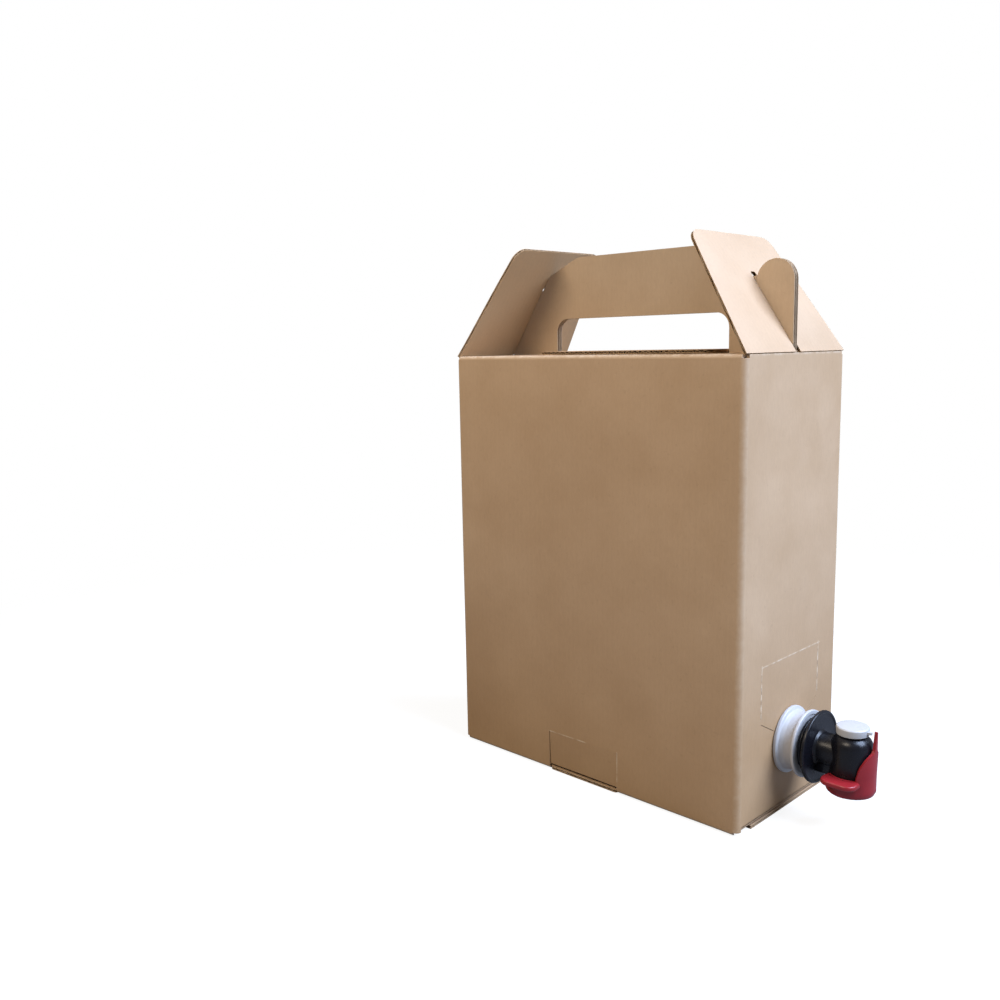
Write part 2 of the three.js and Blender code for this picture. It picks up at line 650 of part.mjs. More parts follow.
// Lever: a ring round the chamber, a wing for the finger and a shield that rises in front.
// The ring is open behind, where it clears the web and, when lifted, the inlet.
function tapLever() {
  const inside = BODY_RADIUS + LEVER_CLEARANCE;
  const outside = inside + LEVER_WALL;
  const shell = turnedZ([
    [inside, LEVER_BOTTOM],
    [outside - SHIELD_FLARE, LEVER_BOTTOM],
    [outside, LEVER_BOTTOM + SHIELD_FLARE],
    [outside, LEVER_RING_TOP],
    [outside + SHIELD_FLARE, SHIELD_TOP],
    [inside + SHIELD_FLARE, SHIELD_TOP],
    [inside, LEVER_RING_TOP],
  ]);
  const half = outside * Math.sin(THREE.MathUtils.degToRad(SHIELD_HALF_ANGLE));
  const ringTop = TAP_AXIS_Z + LEVER_RING_TOP;
  const rightEdge = [
    [half, ringTop - 1],
    [half, TAP_AXIS_Z + SHIELD_SHOULDER, SHIELD_SHOULDER_RADIUS],
    [SHIELD_NECK_HALF, TAP_AXIS_Z + SHIELD_NECK, SHIELD_NECK_RADIUS],
    [SHIELD_TIP_HALF, TAP_AXIS_Z + SHIELD_TOP, SHIELD_TIP_RADIUS],
  ];
  const front = roundedOutline([...rightEdge, ...mirrored(rightEdge)]);
  const keepFront = alongX(front, BODY_X, BODY_X + 2 * outside);
  const keepRing = block(
    BODY_X - 2 * outside, BODY_X + 2 * outside, -2 * outside, 2 * outside,
    TAP_AXIS_Z + LEVER_BOTTOM - 1, ringTop);
  const wingPlan = rectangle(
    BODY_X - WING_LENGTH / 2, -WING_REACH, BODY_X + WING_LENGTH / 2, 0, WING_RADIUS);
  const wing = alongZ(wingPlan, ringTop - WING_THICKNESS, ringTop);
  const barEnd = inside + LEVER_WALL / 2;
  const bar = block(
    BODY_X - CROSS_BAR_WIDTH / 2, BODY_X + CROSS_BAR_WIDTH / 2, -barEnd, barEnd,
    TAP_AXIS_Z + LEVER_BOTTOM, TAP_AXIS_Z + BAR_TOP);
  const room = turnedZ([
    [0, BAR_TOP], [inside, BAR_TOP], [inside, LEVER_RING_TOP + 1], [0, LEVER_RING_TOP + 1],
  ]);
  const webHalf = WEB_THICKNESS / 2 + LEVER_CLEARANCE;
  const webSlot = block(
    BODY_X - 2 * outside, BODY_X - BODY_RADIUS / 2, -webHalf, webHalf,
    TAP_AXIS_Z + LEVER_BOTTOM - 1, TAP_AXIS_Z);
  const inletRadius = INLET_RADIUS + LEVER_CLEARANCE;
  const inletRoom = turnedX([
    [BODY_X - 2 * outside, 0],
    [BODY_X - 2 * outside, inletRadius],
    [BODY_X - BODY_RADIUS / 2, inletRadius],
    [BODY_X - BODY_RADIUS / 2, 0],
  ]).translate([0, 0, -LEVER_TRAVEL]);
  const ring = shell.intersect(keepFront.add(keepRing));
  return cut(union([ring, wing.subtract(room), bar]), [webSlot, inletRoom]);
}

// Valve: a plug above the outlet, its stem in the chamber and the tail that the lever's bar carries
function tapValve() {
  const seat = BODY_BOTTOM + SEAT_THICKNESS + SEAT_GAP;
  const head = CAP_RISE - 2 * CAP_WALL - LEVER_TRAVEL - TRAVEL_CLEARANCE;
  return turnedZ([
    [0, BAR_TOP + SEAT_GAP],
    [STEM_RADIUS, BAR_TOP + SEAT_GAP],
    [STEM_RADIUS, seat],
    [PLUG_RADIUS, seat],
    [PLUG_RADIUS, seat + PLUG_RIM],
    [STEM_RADIUS, seat + PLUG_RISE],
    [STEM_RADIUS, head],
    [0, head],
  ], ROUND / 2);
}

// Filled bag: a soft block with full round edges, hollowed where the gland's flanges sit
function bag() {
  const floor = 2 * LAYER + BOARD + LAYER_GAP;
  const ceiling = WALL_HEIGHT - BOARD - BAG_HEAD_ROOM;
  const half = [
    HALF_WIDTH - BOARD - BAG_CLEARANCE,
    HALF_DEPTH - BOARD - BAG_CLEARANCE,
    (ceiling - floor) / 2,
  ];
  const nothing = 1e-6;
  const power = (value) => Math.sign(value) * Math.abs(value) ** BAG_SQUARENESS;
  const soft = (value) => (Math.abs(value) < nothing ? 0 : power(value));
  const geometry = new THREE.SphereGeometry(1, 32, 18).rotateX(Math.PI / 2);
  const position = geometry.attributes.position;
  for (let index = 0; index < position.count; index += 1) {
    const [x, y, z] = [position.getX(index), position.getY(index), position.getZ(index)];
    const ring = Math.hypot(x, y);
    const spread = soft(ring);
    const across = ring < nothing ? 0 : spread * soft(x / ring);
    const deep = ring < nothing ? 0 : spread * soft(y / ring);
    position.setXYZ(index, half[0] * across, half[1] * deep, half[2] * soft(z));
  }
  const pillow = toSolid(geometry.translate(0, 0, (floor + ceiling) / 2));
  const pocket = turnedX([
    [WALL_X - BOARD - WELD_FLANGE_DEPTH - WELD_FLANGE_THICKNESS - 2 * SEAT_GAP, 0],
    [WALL_X - BOARD - WELD_FLANGE_DEPTH - WELD_FLANGE_THICKNESS - 2 * SEAT_GAP,
      WELD_FLANGE_RADIUS + SEAT_GAP],
    [WALL_X, WELD_FLANGE_RADIUS + SEAT_GAP],
    [WALL_X, 0],
  ]);
  return pillow.subtract(pocket);
}

// Materials
const kraft = new THREE.MeshStandardMaterial({ color: 0xb9996f, roughness: 0.85, metalness: 0 });
const kraftFlap = new THREE.MeshStandardMaterial({ color: 0xc2a47c, roughness: 0.85, metalness: 0 });
const film = new THREE.MeshStandardMaterial({ color: 0xc9ccd0, roughness: 0.35, metalness: 0 });
const whitePlastic = new THREE.MeshStandardMaterial({ color: 0xe6e9ef, roughness: 0.4, metalness: 0 });
const blackPlastic = new THREE.MeshStandardMaterial({ color: 0x17181b, roughness: 0.35, metalness: 0 });
const redPlastic = new THREE.MeshStandardMaterial({ color: 0xa3232f, roughness: 0.4, metalness: 0 });
const valveRubber = new THREE.MeshStandardMaterial({ color: 0xd9dce0, roughness: 0.6, metalness: 0 });

// Assembly
const rightFlap = endFlap();
const box = new THREE.Group();
box.add(
  toMesh('carton', carton(), kraft),
  toMesh('end_flap_tap_side', rightFlap, kraftFlap),
  toMesh('end_flap_far_side', rightFlap.mirror([1, 0, 0]), kraftFlap),
  toMesh('bag', bag(), film),
  toMesh('gland', gland(), whitePlastic),
);
const tap = new THREE.Group();
tap.add(
  toMesh('tap_body', tapBody(), blackPlastic),
  toMesh('tap_cap', tapCap(), whitePlastic),
  toMesh('tap_lever', tapLever(), redPlastic),
  toMesh('tap_valve', tapValve(), valveRubber),
);
box.add(tap);

export default box;
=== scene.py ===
"""Dressed model of a bag-in-box carry carton: fluted board, folded handle, gland and tap.

Sizes are in millimetres and are turned into metres once, when a mesh is finished.
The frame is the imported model's: +Z up, +X out of the tap's wall, -Y out of the front wall.
"""
import math

import bmesh
import bpy
from mathutils import Matrix, Vector, noise


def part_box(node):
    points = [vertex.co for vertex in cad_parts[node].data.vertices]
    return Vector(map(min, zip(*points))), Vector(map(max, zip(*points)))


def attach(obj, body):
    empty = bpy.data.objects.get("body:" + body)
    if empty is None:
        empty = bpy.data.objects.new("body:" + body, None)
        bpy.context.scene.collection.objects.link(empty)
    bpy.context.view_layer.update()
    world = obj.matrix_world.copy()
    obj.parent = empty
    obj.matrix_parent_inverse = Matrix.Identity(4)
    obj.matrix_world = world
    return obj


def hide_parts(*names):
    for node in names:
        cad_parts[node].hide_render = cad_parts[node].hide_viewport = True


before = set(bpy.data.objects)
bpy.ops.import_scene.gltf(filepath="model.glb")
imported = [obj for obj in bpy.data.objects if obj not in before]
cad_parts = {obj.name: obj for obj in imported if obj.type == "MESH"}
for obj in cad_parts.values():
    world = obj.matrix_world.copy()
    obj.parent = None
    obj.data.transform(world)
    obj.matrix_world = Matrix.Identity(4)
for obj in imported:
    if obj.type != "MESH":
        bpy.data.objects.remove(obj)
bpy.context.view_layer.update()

# Carton sizes
MM = 0.001
WALL_HEIGHT = 256.0
HALF_WIDTH = 105.0
HALF_DEPTH = 53.25
BOARD = 1.8
CORNER_RADIUS = 3.4
FOLD_OUTSIDE = 2.2
LAYER_GAP = 0.3
LAYER = BOARD + LAYER_GAP
LINER = 0.32
FLUTE_PITCH = 3.7
FLUTE_STEPS = 10
MEDIUM_THICKNESS = 0.28
MEDIUM_INSET = 0.12
WELD_DISTANCE = 0.0005
WALL_SLICE = 9.0
WALL_SWELL = 0.55
END_WALL_SWELL = 0.4
SWELL_SCALE = 0.016
SWELL_POWER = 6
SWELL_SEED = Vector((3.1, 7.7, 1.3))

# Handle
PLY_INNER = 0.3
HANDLE_RISE = 60.2
HANDLE_TOP_HALF = 46.0
SHOULDER_DROP = 10.5
PANEL_HALF = HALF_WIDTH - 2.4
HAND_HOLE_HALF = 63.5
HAND_HOLE_RISE = 22.5
HAND_HOLE_RADIUS = 8.5
EAR_WIDTH = 22.6
EAR_RISE = 49.6
NOTCH_RISE = 41.0
PLY_FOOT = 0.4
HANDLE_SLICE = 10.0
TAB_SLICE = 8.0

# End flaps
FLAP_LEAN = math.radians(33.4)
FLAP_LENGTH = 78.0
FLAP_HINGE_HALF = HALF_DEPTH - 0.9
FLAP_TOP_HALF = 40.0
FLAP_CORNER_RADIUS = 9.0
SLIT_CLEARANCE = 0.35
SLIT_HALF = PLY_INNER + BOARD + SLIT_CLEARANCE
FLAP_FOOT = 0.25

# Bottom closure and lock tab
FOLD_RAMP = 14.0
FOLD_LAP = 0.6
FOLD_INSIDE = 0.4
FRONT_FLAP_INSET = 17.0
FRONT_FLAP_REACH = 66.0
DUST_FLAP_INSET = 5.0
DUST_FLAP_REACH = 62.0
FLAP_ROUNDING = 8.0
TONGUE_HALF = 26.0
TONGUE_OFFSET = -2.5
TAB_RISE = 25.0
TAB_LIFT = 3.5
TAB_PUSH = math.radians(2.4)
KERF = 0.3
TAB_LEFT = TONGUE_OFFSET - TONGUE_HALF - KERF
TAB_RIGHT = TONGUE_OFFSET + TONGUE_HALF + KERF

# Tear-out door
DOOR_HALF = 31.5
DOOR_TOP = 89.0
DOOR_SHOULDER = 60.0
DOOR_SIDE_MIDDLE = 75.0
DOOR_SIDE_HALF = 14.5
PERFORATION = 4.2
PERFORATION_STEP = 7.0

# Tap, along its level axis and about its upright axis
TAP_AXIS_Z = 40.4
BODY_X = HALF_WIDTH + 37.0
SEAT_GAP = 0.3
GLAND_FACE = HALF_WIDTH + SEAT_GAP
GLAND_LIP = HALF_WIDTH + 12.5
HOLE_RADIUS = 16.4
INLET_ROOM = 9.8
LEVER_TRAVEL = 5.0
LEVER_INSIDE = 11.4
LEVER_WALL = 1.6
LEVER_FOOT = -19.8
LEVER_OPEN_HALF = 25.5
LEVER_NOTCH_RADIUS = 12.2
WING_FLOOR = -12.2
WING_TOP = -9.4
TURN_STEPS = 112

# Height of the lever's upper edge by the angle from its front, in degrees
SHIELD_STOPS = [
    (0, 16.8), (2.5, 16.6), (4, 12.0), (5.5, 8.0), (8, 6.0), (13, 4.9), (20, 4.1), (27, 3.1),
    (34, 1.6), (41, -0.4), (46, -2.2), (50, -4.2), (53, -7.0), (56, WING_TOP), (180, WING_TOP),
]

# Film bag
BAG_SQUARENESS = 0.24
BAG_FILL = 0.985
BAG_WRINKLE = 0.012
BAG_WRINKLE_SCALE = 4.0
SPOUT_POCKET_RADIUS = 23.4
SPOUT_POCKET_DEPTH = 16.0
SPOUT_POCKET_FLOOR = 8.6

# Board colours: light tone, dark tone
KRAFT_TONES = ((0.480, 0.322, 0.191), (0.431, 0.280, 0.157))
# The handle is the same board as the walls; its tones are cooler and less saturated as painted light
HANDLE_PAINTED_LIGHT_TONES = ((0.460, 0.332, 0.214), (0.415, 0.291, 0.180))
# The flaps' inner face is the same board; its tones are darker and warmer as painted shade
INNER_PAINTED_SHADE_TONES = ((0.405, 0.258, 0.131), (0.380, 0.236, 0.116))
# Pale colour of the creases, partly worn liner and partly painted highlight
PALE_WEAR_AND_HIGHLIGHT = (0.66, 0.53, 0.38)
# Painted shade at the walls' foot: a darker, warmer multiply that fades out over the height below
WALL_FOOT_PAINTED_SHADE = (0.87, 0.81, 0.71)
FOOT_PAINTED_SHADE_RISE = 120.0
# Width and weights of the pale crease marks, which are partly wear and partly painted highlight
CREASE_BAND_HALF = 2.6
FOLD_WEAR_AND_HIGHLIGHT = 0.12
TOP_CREASE_WEAR_AND_HIGHLIGHT = 0.5
RIDGE_WEAR_AND_HIGHLIGHT = 0.7

# Largest angle in degrees that is shaded smooth
BOARD_SMOOTH = 35.0
MOULDED_SMOOTH = 50.0
FILM_SMOOTH = 60.0

# Slots of a board piece's materials
LINER_SLOT = 0
MEDIUM_SLOT = 1
# The third slot holds the end flaps' inner-face liner, which carries painted shade
FLAP_INNER_SHADE_SLOT = 2

# Camera, floor and surroundings
CAMERA_PLACE = Vector((0.36698, -0.49302, 0.26162))
CAMERA_AHEAD = Vector((-0.69516, 0.70263, -0.15189))
CAMERA_ROLL = math.radians(-1.12)
CAMERA_LENS = 35.84
SENSOR_WIDTH = 36.0
FLOOR_HALF = 6.0
FLOOR_DROP = 0.0002
FLOOR_TONE = 0.18
FLOOR_LIFT = 0.86
FADE_START = 0.15
FADE_END = 0.75
WORLD_LIGHT = 0.26


# Outlines: a corner is (u, v) or (u, v, radius)

def rounded(corners, steps=7):
    """The corner list as points, with an arc at each corner that has a radius."""
    points = []
    count = len(corners)
    for index, corner in enumerate(corners):
        here = Vector(corner[:2])
        radius = corner[2] if len(corner) > 2 else 0.0
        to_before = (Vector(corners[index - 1][:2]) - here).normalized()
        to_after = (Vector(corners[(index + 1) % count][:2]) - here).normalized()
        half = math.acos(max(-1.0, min(1.0, to_before.dot(to_after)))) / 2
        if radius == 0.0 or half > math.pi / 2 - 0.001:
            points.append(here)
            continue
        centre = here + (to_before + to_after).normalized() * (radius / math.sin(half))
        start = here + to_before * (radius / math.tan(half)) - centre
        end = here + to_after * (radius / math.tan(half)) - centre
        sweep = start.angle_signed(end)
        for step in range(steps + 1):
            turned = start.copy()
            turned.rotate(Matrix.Rotation(-sweep * step / steps, 2))
            points.append(centre + turned)
    return points


def rectangle(u0, v0, u1, v1):
    """The four corners of a rectangle."""
    return [Vector(corner) for corner in ((u0, v0), (u1, v0), (u1, v1), (u0, v1))]


def mirrored(corners):
    """The corners on the other side of u = 0, in the order that carries the outline on."""
    return [(-corner[0],) + tuple(corner[1:]) for corner in reversed(corners)]


def folded_path(path, inside_radius, steps=6):
    """The closed edge-on outline of a board that follows a centre line of (u, v) points."""
    points = [Vector(point) for point in path]
    sides = []
    for sign in (-1, 1):
        side = []
        for index, point in enumerate(points):
            ahead = points[index + 1] - point if index < len(points) - 1 else point - points[index - 1]
            back = point - points[index - 1] if index > 0 else ahead
            ahead.normalize()
            back.normalize()
            turn = back.x * ahead.y - back.y * ahead.x
            left = Vector((-back.y - ahead.y, back.x + ahead.x)).normalized()
            reach = sign * BOARD / 2 / left.dot(Vector((-back.y, back.x)))
            corner = point + left * reach
            radius = 0.0
            if abs(turn) > 0.001:
                radius = inside_radius + (0.0 if turn * sign > 0 else BOARD)
            side.append((corner.x, corner.y, radius))
        sides.append(side)
    return rounded(sides[0] + sides[1][::-1], steps)


# Meshes

def add_loop(bm, points, w):
    """A closed loop of edges through 2D points, at height w."""
    verts = [bm.verts.new((point[0], point[1], w)) for point in points]
    return [bm.edges.new((verts[i - 1], verts[i])) for i in range(len(verts))]


def prism(outline, holes, w0, w1, material=LINER_SLOT):
    """A plate of an outline with holes, from w0 to w1."""
    bm = bmesh.new()
    edges = add_loop(bm, outline, w0)
    for hole in holes:
        edges += add_loop(bm, hole, w0)
    bmesh.ops.triangle_fill(bm, use_beauty=True, edges=edges)
    grown = bmesh.ops.extrude_face_region(bm, geom=bm.faces[:])
    moved = [item for item in grown["geom"] if isinstance(item, bmesh.types.BMVert)]
    bmesh.ops.translate(bm, verts=moved, vec=(0, 0, w1 - w0))
    bmesh.ops.recalc_face_normals(bm, faces=bm.faces[:])
    for face in bm.faces:
        face.material_index = material
    return bm


def merge(target, source, matrix=None):
    """Adds a bmesh to another one, moved by a matrix, and frees it."""
    if matrix is not None:
        bmesh.ops.transform(source, matrix=matrix, verts=source.verts[:])
        if matrix.determinant() < 0:
            bmesh.ops.reverse_faces(source, faces=source.faces[:])
    mesh = bpy.data.meshes.new("part")
    source.to_mesh(mesh)
    source.free()
    target.from_mesh(mesh)
    bpy.data.meshes.remove(mesh)
    return target


def boolean(first, second, operation):
    """The boolean of two closed bmeshes, as a new bmesh."""
    objects = []
    for bm in (first, second):
        mesh = bpy.data.meshes.new("solid")
        bm.to_mesh(mesh)
        bm.free()
        objects.append(bpy.data.objects.new("solid", mesh))
        bpy.context.scene.collection.objects.link(objects[-1])
    modifier = objects[0].modifiers.new("cut", "BOOLEAN")
    modifier.operation = operation
    modifier.solver = "EXACT"
    modifier.object = objects[1]
    modifier.material_mode = "INDEX"
    graph = bpy.context.evaluated_depsgraph_get()
    result = bmesh.new()
    result.from_mesh(objects[0].evaluated_get(graph).to_mesh())
    for item in objects:
        mesh = item.data
        bpy.data.objects.remove(item)
        bpy.data.meshes.remove(mesh)
    return result


def wave_sheet(u0, u1, v0, v1, w0, w1):
    """The fluted medium between two liners: a wavy sheet whose flutes run along v."""
    columns = int((u1 - u0) / FLUTE_PITCH * FLUTE_STEPS)
    bm = bmesh.new()
    bmesh.ops.create_grid(bm, x_segments=columns, y_segments=1, size=0.5)
    middle = (w0 + w1) / 2
    swing = (w1 - w0) / 2
    for vert in bm.verts:
        u = u0 + (vert.co.x + 0.5) * (u1 - u0)
        v = v0 + (vert.co.y + 0.5) * (v1 - v0)
        vert.co = (u, v, middle + swing * math.sin(math.tau * u / FLUTE_PITCH))
    bmesh.ops.solidify(bm, geom=bm.faces[:], thickness=MEDIUM_THICKNESS)
    bmesh.ops.recalc_face_normals(bm, faces=bm.faces[:])
    for face in bm.faces:
        face.material_index = MEDIUM_SLOT
    return bm


def board(outline):
    """Fluted board from w = 0 to BOARD: two liners and the medium, whose flutes run along v."""
    bm = prism(outline, [], 0.0, LINER)
    merge(bm, prism(outline, [], BOARD - LINER, BOARD))
    us = [point[0] for point in outline]
    vs = [point[1] for point in outline]
    core = prism(outline, [], LINER - MEDIUM_INSET, BOARD - LINER + MEDIUM_INSET, MEDIUM_SLOT)
    low = LINER + MEDIUM_INSET / 2
    high = BOARD - LINER - MEDIUM_INSET / 2
    wave = wave_sheet(min(us) - 2, max(us) + 2, min(vs) - 2, max(vs) + 2, low, high)
    return merge(bm, boolean(wave, core, "INTERSECT"))


def block(size, centre):
    """A block of a size about a centre."""
    bm = bmesh.new()
    bmesh.ops.create_cube(bm, size=1.0)
    bmesh.ops.scale(bm, vec=size, verts=bm.verts[:])
    bmesh.ops.translate(bm, vec=centre, verts=bm.verts[:])
    return bm


def slice_up(bm, axis, low, high, step):
    """Cuts the mesh by planes across an axis, so that it can bend softly."""
    normal = Vector((0, 0, 0))
    normal[axis] = 1.0
    place = low + step
    while place < high:
        geometry = bm.verts[:] + bm.edges[:] + bm.faces[:]
        bmesh.ops.bisect_plane(bm, geom=geometry, plane_co=normal * place, plane_no=normal, dist=0.0001)
        place += step


def strip(path, low, high, inside_radius=FOLD_INSIDE, trim=None):
    """A folded strip seen edge on in (y, z), swept along X, and kept inside a trim solid if given."""
    bm = prism(folded_path(path, inside_radius), [], low, high)
    turn = Matrix(((0, 0, 1, 0), (1, 0, 0, 0), (0, 1, 0, 0), (0, 0, 0, 1)))
    bmesh.ops.transform(bm, matrix=turn, verts=bm.verts[:])
    if trim is not None:
        bm = boolean(bm, trim, "INTERSECT")
    return bm


def finish_mesh(name, bm, materials, body, node, smooth=BOARD_SMOOTH):
    """Turns a bmesh in millimetres into a piece in metres, at the origin, riding on its body."""
    bmesh.ops.remove_doubles(bm, verts=bm.verts[:], dist=WELD_DISTANCE)
    bmesh.ops.scale(bm, vec=(MM, MM, MM), verts=bm.verts[:])
    limit = math.radians(smooth)
    for face in bm.faces:
        face.smooth = True
    for edge in bm.edges:
        if len(edge.link_faces) == 2 and edge.calc_face_angle(0.0) > limit:
            edge.smooth = False
    mesh = bpy.data.meshes.new(name)
    bm.to_mesh(mesh)
    bm.free()
    for material in materials:
        mesh.materials.append(material)
    piece = bpy.data.objects.new(name, mesh)
    bpy.context.scene.collection.objects.link(piece)
    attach(piece, body)
    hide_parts(node)


def ripple(bm, axis, height, scale, seed, fade):
    """Moves vertices along an axis by smooth noise, scaled by fade, so that a board isn't quite flat."""
    for vert in bm.verts:
        place = Vector(vert.co) * scale + Vector((seed, seed * 2.3, seed * 0.7))
        place[axis] = seed
        vert.co[axis] += height * noise.noise(place) * fade(vert.co)


# Materials

def node(tree, kind, **values):
    """Makes a shader node and sets its sockets or its properties by name."""
    made = tree.nodes.new(kind)
    for name, value in values.items():
        if name in made.inputs:
            made.inputs[name].default_value = value
        else:
            setattr(made, name, value)
    return made


def new_material(name):
    """A node material, its tree and its shader."""
    material = bpy.data.materials.new(name)
    material.use_nodes = True
    tree = material.node_tree
    shader = tree.nodes["Principled BSDF"]
    return material, tree, shader


def ramp(tree, factor, stops):
    """A colour ramp from a list of (place, colour) stops."""
    made = tree.nodes.new("ShaderNodeValToRGB")
    elements = made.color_ramp.elements
    while len(elements) < len(stops):
        elements.new(0.5)
    for element, (place, value) in zip(elements, stops):
        element.position = place
        element.color = (*value, 1.0)
    tree.links.new(factor, made.inputs["Fac"])
    return made.outputs["Color"]


def grey(value):
    """A colour with three equal channels."""
    return (value, value, value)


def noise_at(tree, place, **values):
    """A noise texture's value at a place."""
    made = node(tree, "ShaderNodeTexNoise", **values)
    tree.links.new(place, made.inputs["Vector"])
    return made.outputs["Fac"]


def add_bump(tree, shader, height, strength, distance=0.0002):
    """Raises a shader's surface by a height."""
    bump = node(tree, "ShaderNodeBump", Strength=strength, Distance=distance)
    tree.links.new(height, bump.inputs["Height"])
    tree.links.new(bump.outputs[0], shader.inputs["Normal"])


def feed(tree, socket, value):
    """Sets a socket to a plain value, or links another socket to it."""
    if isinstance(value, bpy.types.NodeSocket):
        tree.links.new(value, socket)
    elif isinstance(value, tuple):
        socket.default_value = (*value, 1.0)
    else:
        socket.default_value = value


def math_node(tree, operation, first, second=0.0, third=0.0, clamp=False):
    """A math node's result from sockets or plain numbers."""
    made = tree.nodes.new("ShaderNodeMath")
    made.operation = operation
    made.use_clamp = clamp
    for socket, value in zip(made.inputs, (first, second, third)):
        feed(tree, socket, value)
    return made.outputs[0]


def mix_colour(tree, factor, first, second, blend="MIX"):
    """Two colours mixed or blended by a factor, each a socket or a plain value."""
    made = tree.nodes.new("ShaderNodeMix")
    made.data_type = "RGBA"
    made.blend_type = blend
    for socket, value in zip((made.inputs[0], made.inputs[6], made.inputs[7]), (factor, first, second)):
        feed(tree, socket, value)
    return made.outputs[2]


def mottle_group():
    """Masks for the liner's clouds, fibres and specks, and its relief, at a place."""
    group = bpy.data.node_groups.new("paper_mottle", "ShaderNodeTree")
    for name, kind in (("Place", "NodeSocketVector"), ("Cloud Scale", "NodeSocketFloat")):
        group.interface.new_socket(name, in_out="INPUT", socket_type=kind)
    for name in ("Cloud", "Fibre", "Speck", "Height"):
        group.interface.new_socket(name, in_out="OUTPUT", socket_type="NodeSocketFloat")
    into = group.nodes.new("NodeGroupInput")
    out = group.nodes.new("NodeGroupOutput")
    cloud = node(group, "ShaderNodeTexNoise", Detail=4.0, Roughness=0.6)
    group.links.new(into.outputs["Place"], cloud.inputs["Vector"])
    group.links.new(into.outputs["Cloud Scale"], cloud.inputs["Scale"])
    stretch = node(group, "ShaderNodeMapping")
    stretch.inputs["Scale"].default_value = (900.0, 900.0, 260.0)
    group.links.new(into.outputs["Place"], stretch.inputs["Vector"])
    fibre = noise_at(group, stretch.outputs[0], Scale=1.0, Detail=3.0, Roughness=0.7)
    speck = noise_at(group, into.outputs["Place"], Scale=420.0, Detail=2.0, Roughness=0.5)
    dots = ramp(group, speck, [(0.66, grey(0.0)), (0.74, grey(1.0))])
    height = math_node(group, "ADD", math_node(group, "MULTIPLY", fibre, 0.7),
                       math_node(group, "MULTIPLY", cloud.outputs["Fac"], 0.6))
    group.links.new(cloud.outputs["Fac"], out.inputs["Cloud"])
    group.links.new(fibre, out.inputs["Fibre"])
    group.links.new(dots, out.inputs["Speck"])
    group.links.new(height, out.inputs["Height"])
    return group


PAPER_MOTTLE = mottle_group()


def band(tree, value, centre, half, soft):
    """1 where a value is within half of centre, fading to 0 across soft."""
    distance = math_node(tree, "ABSOLUTE", math_node(tree, "SUBTRACT", value, centre * MM))
    fade = tree.nodes.new("ShaderNodeMapRange")
    fade.interpolation_type = "SMOOTHSTEP"
    fade.inputs["From Min"].default_value = half * MM
    fade.inputs["From Max"].default_value = (half + soft) * MM
    fade.inputs["To Min"].default_value = 1.0
    fade.inputs["To Max"].default_value = 0.0
    tree.links.new(distance, fade.inputs["Value"])
    return fade.outputs["Result"]


def wall_wear_and_highlight_marks(tree, place):
    """Where the walls' liner is painted pale, partly as wear and partly as painted highlight: the upright
    folds, the top crease and the cuts' creases.
    """
    split = tree.nodes.new("ShaderNodeSeparateXYZ")
    tree.links.new(place, split.inputs[0])
    x, y, z = split.outputs
    side_x = math_node(tree, "ABSOLUTE", x)
    side_y = math_node(tree, "ABSOLUTE", y)
    fold = math_node(tree, "MULTIPLY", band(tree, side_x, HALF_WIDTH, CREASE_BAND_HALF, 1.2),
                     band(tree, side_y, HALF_DEPTH, CREASE_BAND_HALF, 1.2))
    fold = math_node(tree, "MULTIPLY", fold, FOLD_WEAR_AND_HIGHLIGHT)
    rim = math_node(tree, "MAXIMUM", band(tree, side_x, HALF_WIDTH, CREASE_BAND_HALF, 1),
                    band(tree, side_y, HALF_DEPTH, CREASE_BAND_HALF, 1))
    top = math_node(tree, "MULTIPLY", band(tree, z, WALL_HEIGHT, 0.5, 1.4),
                    math_node(tree, "MULTIPLY", rim, TOP_CREASE_WEAR_AND_HIGHLIGHT))
    on_side = band(tree, x, HALF_WIDTH, 2.0, 0.5)
    crease = math_node(tree, "MULTIPLY", band(tree, z, DOOR_TOP, 0.15, 0.5), band(tree, y, 1, 32, 1))
    cuts = math_node(tree, "MULTIPLY", band(tree, side_y, DOOR_HALF, 0.3, 0.5),
                     band(tree, z, DOOR_SIDE_MIDDLE, DOOR_SIDE_HALF, 1))
    door = math_node(tree, "MULTIPLY", on_side, math_node(tree, "MAXIMUM", crease, cuts))
    on_front = band(tree, y, -HALF_DEPTH, 2.0, 0.5)
    tab_top = math_node(tree, "MULTIPLY", band(tree, z, TAB_RISE, 0.1, 0.5),
                        band(tree, x, TONGUE_OFFSET - 12, 13, 3))
    tab_side = math_node(tree, "MULTIPLY", band(tree, x, TONGUE_OFFSET + TONGUE_HALF + 0.5, 0.15, 0.4),
                         band(tree, z, 14, 11, 1))
    tab = math_node(tree, "MULTIPLY", on_front, math_node(tree, "MAXIMUM", tab_top, tab_side))
    ridges = math_node(tree, "MAXIMUM", door, tab)
    marks = math_node(tree, "MAXIMUM", math_node(tree, "MAXIMUM", fold, top),
                      math_node(tree, "MULTIPLY", ridges, RIDGE_WEAR_AND_HIGHLIGHT))
    return marks, ridges


